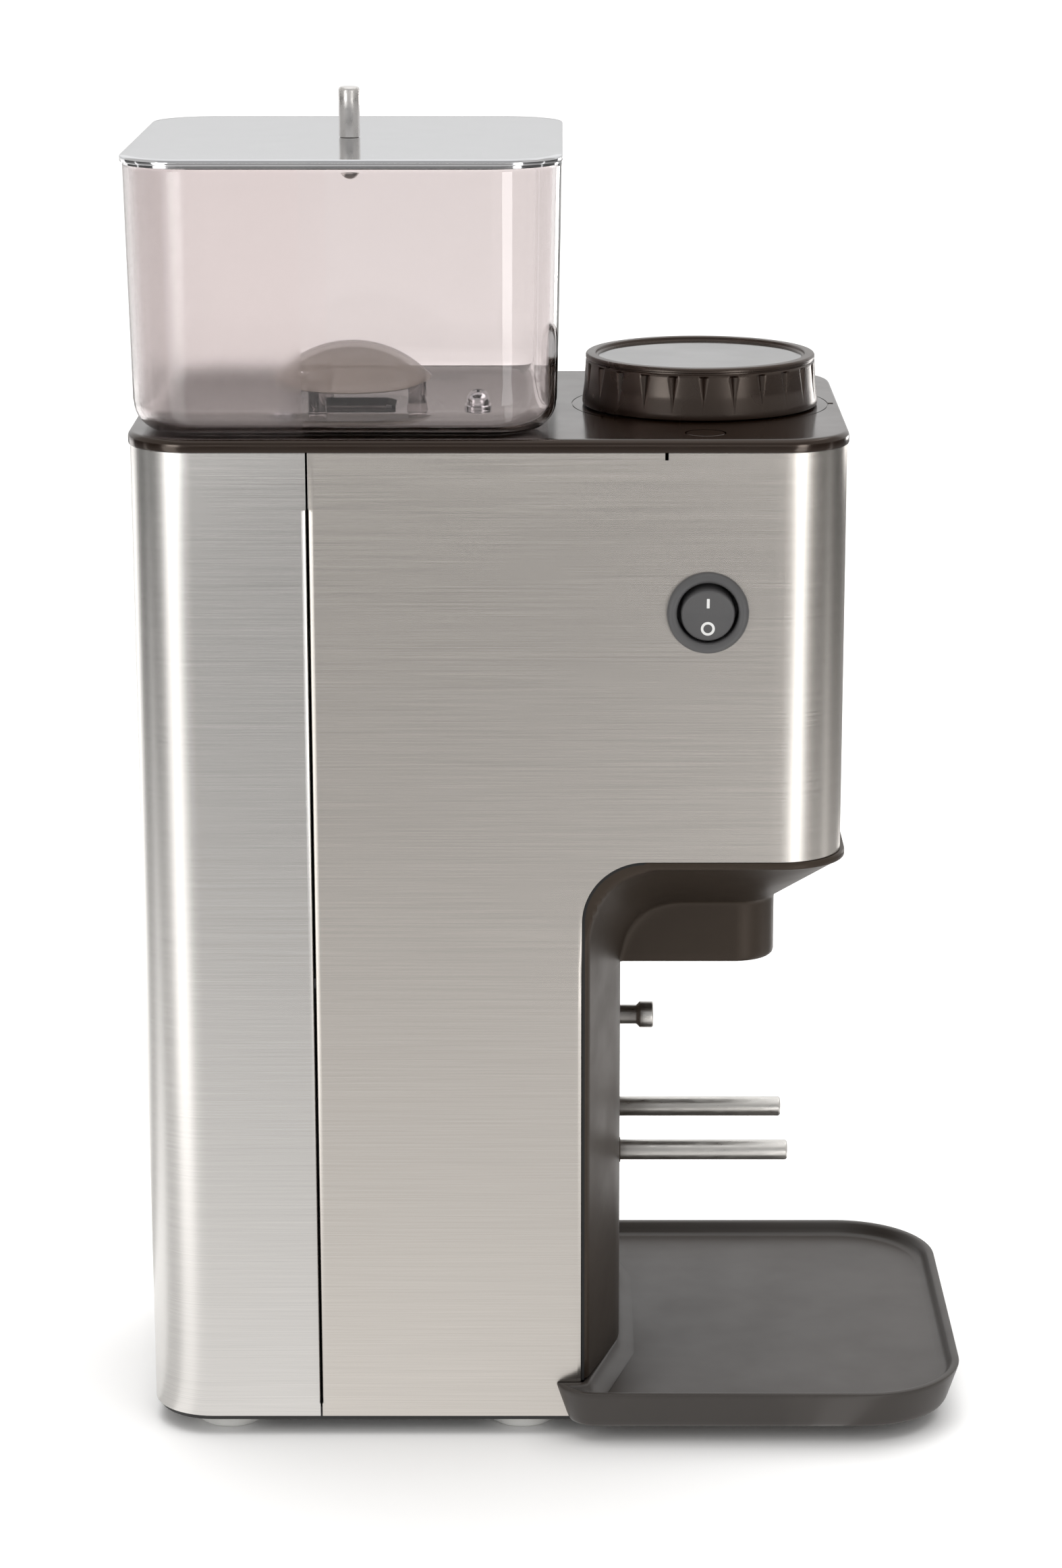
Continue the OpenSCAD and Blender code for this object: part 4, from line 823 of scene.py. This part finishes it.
def lid_pin():
    lo, hi = mm_box("lid_pin")
    x, r, z0, z1 = (lo[0] + hi[0]) / 2, (hi[0] - lo[0]) / 2, lo[2], hi[2]
    profile = [(r - 0.3, z0), (r, z0 + 0.3), (r, z1 - 0.9)]
    profile += arc(r - 0.9, z1 - 0.9, 0.9, 15, 90, 4) + [(0.3, z1)]
    turned("lid_pin_turned", profile, at(x, 0, 0), "screw_chrome", "lid", ["lid_pin"], sharp=50)
    (nut_x0, _, nut_z), (nut_x1, _, _) = mm_box("lid_screw")
    nut_r = (nut_x1 - nut_x0) / 2
    dome = [(nut_r * math.sin(a), nut_z + nut_r - nut_r * math.cos(a))
            for a in np.radians(np.linspace(6, 90, 12))]
    dome.append((nut_r, mm_box("hopper_lid")[0][2]))
    turned("lid_nut_dome", dome, at(x, 0, 0), "screw_chrome", "lid", ["lid_screw"], steps=48)


def hopper_screws():
    """Domed heads with a cross, each on a washer."""
    z0 = mm_box("hopper_screws")[1][2] - 3.0
    circle_r, washer_r, head_r = 36.4, 4.0, 3.35
    for k in range(3):
        a = math.radians(120 * k)
        x, y = BURR_X + circle_r * math.cos(a), circle_r * math.sin(a)
        profile = [(0.3, z0 + 0.02), (washer_r, z0 + 0.02), (washer_r, z0 + 0.55), (washer_r - 0.15, z0 + 0.7)]
        profile += [(head_r, z0 + 0.7), (head_r, z0 + 1.3)]
        profile += [(head_r * math.cos(b), z0 + 1.3 + 1.7 * math.sin(b))
                    for b in np.radians(np.linspace(15, 84, 7))]
        obj = raw(f"hopper_screw_{k}", *loft(lathe(profile, 48, at(x, y, 0))))
        slots = [block("slot", (x - w, y - d, z0 + 1.6), (x + w, y + d, z0 + 4))
                 for w, d in ((1.7, 0.4), (0.4, 1.7))]
        boolean(obj, slots)
        finish_piece(obj, "bearing_steel", replaces=["hopper_screws"] if k == 0 else (), sharp=35)


hopper()
bean_guard()
lid()
lid_pin()
hopper_screws()

# ---------------------------------------------------------------- rocker switch

SW_LO, SW_HI = mm_box("switch_housing")
SW_X, SW_Z = (SW_LO[0] + SW_HI[0]) / 2, (SW_LO[2] + SW_HI[2]) / 2


def switch_bezel():
    r = (SW_HI[0] - SW_LO[0]) / 2
    bore, front = 8.65, -SW_LO[1] - HALF_W
    profile = [(bore, -9), (bore, front - 0.9), (bore + 0.35, front - 0.35), (bore + 0.9, front - 0.1)]
    profile += [(bore + 1.4, front), (r - 1.1, front - 0.12), (r - 0.45, front - 0.4), (r - 0.1, front - 0.9)]
    profile += [(r, front - 1.5), (r, 0.02), (10, 0.02), (10, -11), (3, -11), (3, -9)]
    turned("switch_bezel", profile, at(SW_X, -HALF_W, SW_Z, "-Y"), "switch_plastic",
           replaces=["switch_housing"], steps=96, sharp=45, closed=True)


def switch_rocker():
    """A round rocker with two flat halves that meet in a shallow valley, tipped so that O is pressed."""
    pivot_y, tip, slope, valley_z = -61.2, 11, 0.14, 2.55
    place = at(SW_X, pivot_y, SW_Z, "-Y") @ Matrix.Rotation(math.radians(tip), 4, "X")
    r, steps = 7.6, 72
    rings = []
    for d, z in ((0.5, -4.0), (0, -3.5), (0, 2.0), (0.12, 2.5), (0.45, 2.8)):
        ring = []
        for k in range(steps):
            a = 2 * math.pi * k / steps
            x, y = (r - d) * math.cos(a), (r - d) * math.sin(a)
            zz = z if z < 0 else z - 0.25 + abs(y) * slope
            ring.append(tuple(place @ Vector((x, y, zz))))
        rings.append(ring)
    verts, faces = loft(rings, caps=(True, False))
    top = (len(rings) - 1) * steps
    for s in (0, 1):
        faces.append([top + k % steps for k in range(s * steps // 2, (s + 1) * steps // 2 + 1)])
    piece("switch_rocker_face", verts, faces, "switch_plastic", "rocker", ["switch_rocker"],
          sharp=20, bevel=0.15, angle=25)

    def mark(name, outline_pairs):
        """A mark just proud of one half, from pairs of outer and inner points."""
        verts, faces = [], []
        for lift in (0.0, 0.06):
            for p, q in outline_pairs:
                for x, y in (p, q):
                    verts.append(tuple(place @ Vector((x, y, valley_z + abs(y) * slope + lift - 0.02))))
        m = len(outline_pairs)
        for k in range(m):
            j = (k + 1) % m
            a, b, c, d = 2 * k, 2 * j, 2 * m + 2 * k, 2 * m + 2 * j
            faces += [[c, d, d + 1, c + 1], [a, a + 1, b + 1, b], [a, b, d, c], [a + 1, c + 1, d + 1, b + 1]]
        piece(name, verts, faces, "switch_plastic", "rocker", material=PAINT, sharp=30)

    o_y, o_out, o_in = -3.9, 1.95, 1.25
    mark("switch_mark_o", [((o_out * math.cos(a), o_y + o_out * math.sin(a)),
                            (o_in * math.cos(a), o_y + o_in * math.sin(a)))
                           for a in np.linspace(0, 2 * math.pi, 41)[:-1]])
    low, high, half = 2.2, 5.2, 0.4
    foot, head = (0.0, low + 0.3), (0.0, high - 0.3)
    mark("switch_mark_i", [((half, low), foot), ((half, high), head),
                           ((-half, high), head), ((-half, low), foot)])


switch_bezel()
switch_rocker()

# ---------------------------------------------------------------- front trim

TRIM_HI = mm_box("front_trim")[1]
NOSE_X, NOSE_Y = 18.7, 31
FLANGE_X, FLANGE_Y = 7.6, 62.3
BEND_X, BEND_Y = 9.2, 61.6
TRIM_Z0 = 17.4
BLOCK_Z0, BLOCK_Z1, BLOCK_X1, BLOCK_Y, BLOCK_R = 136.2, 154.5, 64.0, 31.3, 12
LIP_Z0, LIP_Z1, LIP_X1, LIP_Y, LIP_R = 173.0, 175.1, TRIM_HI[0], TRIM_HI[1], 19


def soft_max(a, b, k):
    """The larger of two, rounded over where they differ by less than k."""
    h = max(k - abs(a - b), 0) / k
    return max(a, b) + h * h * k / 4


def soft_min(a, b, k):
    return -soft_max(-a, -b, k)


def nose_distance(x, y, inset):
    """Below zero inside the nose: its flat front, the slanted cheeks and the flanges, with soft corners."""
    y = abs(y)
    front = x - NOSE_X
    slant = (x - NOSE_X) * 0.955 + (y - NOSE_Y) * 0.2965
    flange = (x - BEND_X) * 0.401 + (y - BEND_Y) * 0.916
    return soft_max(soft_max(soft_max(front, slant, 1.6), flange, 0.8), y - FLANGE_Y, 0.6) + inset


def box_distance(x, y, x1, half, r):
    """Below zero behind x1 and within half of the middle plane, with corners of radius r."""
    dx, dy = x - (x1 - r), abs(y) - (half - r)
    return math.hypot(max(dx, 0), max(dy, 0)) + min(max(dx, dy), 0) - r


def funnel_distance(x, y, z):
    """The sloping underside between the outlet block and the lip, carried on below the block's top."""
    t = (z - BLOCK_Z1) / (LIP_Z0 - BLOCK_Z1)
    x1, half = BLOCK_X1 + (LIP_X1 - 0.6 - BLOCK_X1) * t, BLOCK_Y + (LIP_Y - 0.7 - BLOCK_Y) * t
    r = BLOCK_R + (LIP_R - 0.5 - BLOCK_R) * t
    dx, dy = x - (x1 - r), abs(y) - (half - r)
    if dx > 0 and dy > 0:
        return math.hypot(0.713 * dx, 0.504 * dy) * (1 - r / math.hypot(dx, dy))
    return max(0.713 * (dx - r), 0.504 * (dy - r))


def trim_distance(x, y, z, nose_inset, block_inset):
    """Below zero inside the trim at height z: the nose, filleted into the funnel, and the outlet block.

    Below the block, where block_inset is None, it is the nose alone."""
    nose = nose_distance(x, y, nose_inset)
    if block_inset is None:
        return nose
    out = min(1, max(0, (abs(y) - BLOCK_Y) / (FLANGE_Y - BLOCK_Y)))
    joined = soft_min(nose, funnel_distance(x, y, z), 19 + 3 * out)
    if z <= BLOCK_Z1 + 1.5:
        outlet = box_distance(x, y, BLOCK_X1 - block_inset, BLOCK_Y - block_inset, BLOCK_R - block_inset)
        joined = soft_min(joined, outlet + 0.15 * max(0, z - BLOCK_Z1 + 1), 1.2)
    return max(joined, abs(y) - FLANGE_Y)


TRIM_ORIGIN = -5.0


def trim_ring(z, nose_inset, block_inset, angles):
    """The trim's outline at height z, found by halving along each angle from the origin."""
    ring = []
    for a in angles:
        dx, dy = math.cos(a), math.sin(a)
        low, high = (FLANGE_X + 0.15 - TRIM_ORIGIN) / dx, 130.0
        if trim_distance(TRIM_ORIGIN + low * dx, low * dy, z, nose_inset, block_inset) > 0:
            high = low
            low = 0.0
        for _ in range(30):
            mid = (low + high) / 2
            if trim_distance(TRIM_ORIGIN + mid * dx, mid * dy, z, nose_inset, block_inset) > 0:
                high = mid
            else:
                low = mid
        ring.append((TRIM_ORIGIN + low * dx, low * dy, z))
    return ring


def front_trim():
    end = math.atan2(FLANGE_Y, FLANGE_X - TRIM_ORIGIN)
    corners = ((NOSE_X, NOSE_Y), (BEND_X, BEND_Y), (BLOCK_X1 - BLOCK_R, BLOCK_Y), (BLOCK_X1, BLOCK_Y - BLOCK_R))
    keys = [math.atan2(y, x - TRIM_ORIGIN) for x, y in corners]
    angles = list(np.linspace(0, end, 70)) + [k + d for k in keys for d in (-0.012, -0.004, 0.004, 0.012)]
    angles = sorted(a for a in angles if a <= end)
    angles = [-a for a in angles[:0:-1]] + angles
    rings = [trim_ring(z, i, None, angles) for z, i in
             ((8.7, 3.4), (TRIM_Z0 - 0.4, 3.4), (TRIM_Z0, 0.9), (TRIM_Z0 + 0.2, 0.35), (TRIM_Z0 + 0.7, 0.0))]
    rings += [trim_ring(z, 0, None, angles) for z in np.linspace(24, BLOCK_Z0 - 0.6, 18)]
    rings += [trim_ring(BLOCK_Z0 - 0.25, 0, None, angles)]
    for inset, z in ((1.3, 0.0), (0.6, 0.12), (0.22, 0.45), (0.0, 1.2)):
        rings.append(trim_ring(BLOCK_Z0 + z, 0, inset, angles))
    rings += [trim_ring(z, 0, 0, angles) for z in np.linspace(BLOCK_Z0 + 3, BLOCK_Z1 - 3, 6)]
    rings += [trim_ring(z, 0, 0, angles) for z in np.linspace(BLOCK_Z1 - 2, LIP_Z0 - 0.3, 34)]

    def lip(d, z):
        ring = []
        for x, y, _ in trim_ring(LIP_Z0, 0, 0, angles):
            a = math.atan2(y, x - TRIM_ORIGIN)
            low, high = 0.0, 140.0
            for _ in range(30):
                mid = (low + high) / 2
                px, py = TRIM_ORIGIN + mid * math.cos(a), mid * math.sin(a)
                inside = box_distance(px, py, LIP_X1 - d, LIP_Y - d, LIP_R - d) < 0
                side = FLANGE_Y + (LIP_Y - d - FLANGE_Y) * min(1, max(0, (px - 24) / 4))
                low, high = (mid, high) if inside and abs(py) < side else (low, mid)
            ring.append((TRIM_ORIGIN + low * math.cos(a), low * math.sin(a), z))
        return ring

    rings += [lip(d, z) for d, z in
              ((0.35, LIP_Z0), (0.08, LIP_Z0 + 0.2), (0, LIP_Z0 + 0.5), (0, LIP_Z1 - 0.4), (0.3, LIP_Z1),
               (6, LIP_Z1 + 0.02))]
    obj = raw("trim_moulding", *loft(rings))
    outlet = rod("outlet", 13.3, 22, at(KNOB_X, 0, BLOCK_Z0 - 4), 96)
    button = mm_box("dose_button")
    eye = rod("eye", 3.3, 12, at(NOSE_X - 6, 0, (button[0][2] + button[1][2]) / 2, "X"))
    boolean(obj, [outlet, eye])
    finish_piece(obj, "trim_plastic", replaces=["front_trim"], sharp=38)


def paint_gap_shade():
    """A near-black strip of painted shade in the gap where the steel's edge meets the trim, up the column and
    round the arc.
    """
    cx, cz, r = COL_X + CUT_R, HEAD_Z - CUT_R, CUT_R - 0.05
    path = [(COL_X + 0.05, z) for z in np.linspace(TRIM_Z0, cz, 8)]
    path += [(cx - r * math.cos(a), cz + r * math.sin(a)) for a in np.radians(np.linspace(6, 90, 15))]
    path += [(x, HEAD_Z - 0.05) for x in np.linspace(cx + 6, 58, 5)]
    width, y_in, y_out = 0.8, 61.4, FLANGE_Y + 0.15
    strip = ((0, y_in), (width, y_in), (width, y_out), (0, y_out))
    for name, side in (("gap_shade_near", -1), ("gap_far", 1)):
        rings = []
        for k, (x, z) in enumerate(path):
            (xa, za), (xb, zb) = path[max(0, k - 1)], path[min(len(path) - 1, k + 1)]
            size = math.hypot(xb - xa, zb - za)
            nx, nz = (zb - za) / size, -(xb - xa) / size
            ring = [(x + nx * w, side * y, z + nz * w) for w, y in strip]
            rings.append(ring if side < 0 else ring[::-1])
        piece(name, *loft(rings), "black_plastic", material=GAP_SHADE, sharp=30)


front_trim()
paint_gap_shade()

# ---------------------------------------------------------------- fork and button


def fork_rods():
    r, z, apart, length = 3.0, 74.0, 40.0, mm_box("fork_rods")[1][0] - NOSE_X
    profile = [(r - 0.2, -6), (r, -5.5), (r, length - 0.7), (r - 0.15, length - 0.3), (r - 0.5, length)]
    profile += [(0.25, length)]
    collar = [(r + 0.05, -1), (r + 0.75, -1), (r + 0.75, 0.1), (r + 0.6, 0.3), (r + 0.05, 0.3)]
    for name, y, replaces in (("fork_rod_near", -apart / 2, ["fork_rods"]), ("fork_rod_far", apart / 2, ())):
        place = at(NOSE_X, y, z, "X")
        turned(name, profile, place, "rod_steel", replaces=replaces)
        turned(name + "_seat", collar, place, "trim_plastic", steps=48, closed=True)


def dose_button():
    lo, hi = mm_box("dose_button")
    length, stem = hi[0] - lo[0], 2.9
    profile = [(0.3, 0), (stem - 0.3, 0), (stem, 0.3), (stem, 14.2), (5.2, 14.2), (5.4, 14.4), (5.4, 15.7)]
    profile += [(5.2, 15.9), (stem, 15.9), (stem, length - 5.3), (stem + 0.15, length - 4.9)]
    profile += [(3.85, length - 4.2), (4.0, length - 3.9), (4.0, length - 0.55), (3.85, length - 0.2)]
    profile += [(3.5, length), (0.3, length)]
    place = at(lo[0], 0, (lo[2] + hi[2]) / 2, "X")
    turned("dose_button_turned", profile, place, "rod_steel", "button", ["dose_button"])


fork_rods()
dose_button()

# ---------------------------------------------------------------- tray

TRAY_LO, TRAY_HI = mm_box("tray")


def tray_outline(d, back):
    """The tray in plan, d in from its outer sides and back out from the column's place."""
    rear_corner, front_corner = 12, 30
    rear_r, front_r = rear_corner - d, front_corner - d
    cx, cy = TRAY_LO[0] + rear_corner, TRAY_HI[1] - rear_corner
    side = 63.1 + back
    right = arc(TRAY_HI[0] - d - front_r, TRAY_HI[1] - d - front_r, front_r, 0, 90, 18)
    end = math.pi - math.asin(min(0.999, (side - cy) / rear_r))
    right += arc(cx, cy, rear_r, 90, math.degrees(end), 10)
    b = back + 0.35
    foot = 3.4 - b
    right += [(max(right[-1][0] + 1.5, 6.5 + b * 0.3), side), (8.1 + b * 0.75 - 0.6, side - 0.25 * b - 0.4),
              (11 - foot * 0.9, 60.6 - foot * 0.35), (NOSE_X - foot, NOSE_Y - foot * 0.12), (NOSE_X - foot, 15)]
    return right + [(NOSE_X - foot, 0)] + [(x, -y) for x, y in right[::-1]]


def tray():
    z0, rim, dish = 5.3, TRAY_HI[2], 13.3
    wall, slope = 2.4, 3.3
    rings = []

    def ring(d, back, z):
        rings.append([(x, y, z) for x, y in tray_outline(d, back)])

    ring(slope + wall + 0.6, 3.0, dish - 2.1)
    ring(slope + wall, 2.6, z0 + 0.3)
    ring(slope + wall - 0.4, 2.3, z0)
    ring(slope + 1.4, 0.6, z0)
    ring(slope + 0.55, 0.15, z0 + 0.25)
    ring(slope + 0.15, 0, z0 + 0.9)
    ring(slope - 0.35, 0, z0 + 2.2)
    ring(0.35, 0, rim - 1.6)
    ring(0.05, 0, rim - 0.6)
    ring(0.12, 0.1, rim - 0.25)
    ring(0.45, 0.35, rim - 0.02)
    ring(wall - 0.9, 1.7, rim)
    ring(wall - 0.35, 2.1, rim - 0.15)
    ring(wall, 2.45, rim - 0.6)
    ring(wall + 0.75, 3.0, dish + 1.9)
    ring(wall + 1.15, 4.2, dish + 0.9)
    ring(wall + 1.9, 5.6, dish + 0.3)
    ring(wall + 3.2, 7.0, dish + 0.02)
    ring(wall + 3.6, 7.6, dish)
    piece("tray_moulding", *loft(rings), "tray_plastic", "tray", ["tray"], sharp=50)
    foot_x, foot_y = TRAY_HI[0] - 24, 44
    foot = [(0.4, 0), (4.4, 0), (4.85, 0.2), (5, 0.7), (5, z0 + 6.5)]
    for name, y in (("tray_foot_near", -foot_y), ("tray_foot_far", foot_y)):
        turned(name, foot, at(foot_x, y, 0), "tray_plastic", "tray", steps=48)


tray()

# ---------------------------------------------------------------- feet


def feet():
    for node in ("foot_rear_left", "foot_rear_right", "foot_front_left", "foot_front_right"):
        lo, hi = mm_box(node)
        x, y, r = (lo[0] + hi[0]) / 2, (lo[1] + hi[1]) / 2, (hi[0] - lo[0]) / 2
        profile = [(4, 3), (4, 0.3), (4.3, 0), (r - 1.3, 0), (r - 0.6, 0.25), (r - 0.15, 0.9), (r, 1.9)]
        profile += [(r, hi[2]), (2, hi[2]), (2, 3)]
        turned(node + "_moulded", profile, at(x, y, 0), "milky_rubber", replaces=[node], closed=True)


feet()
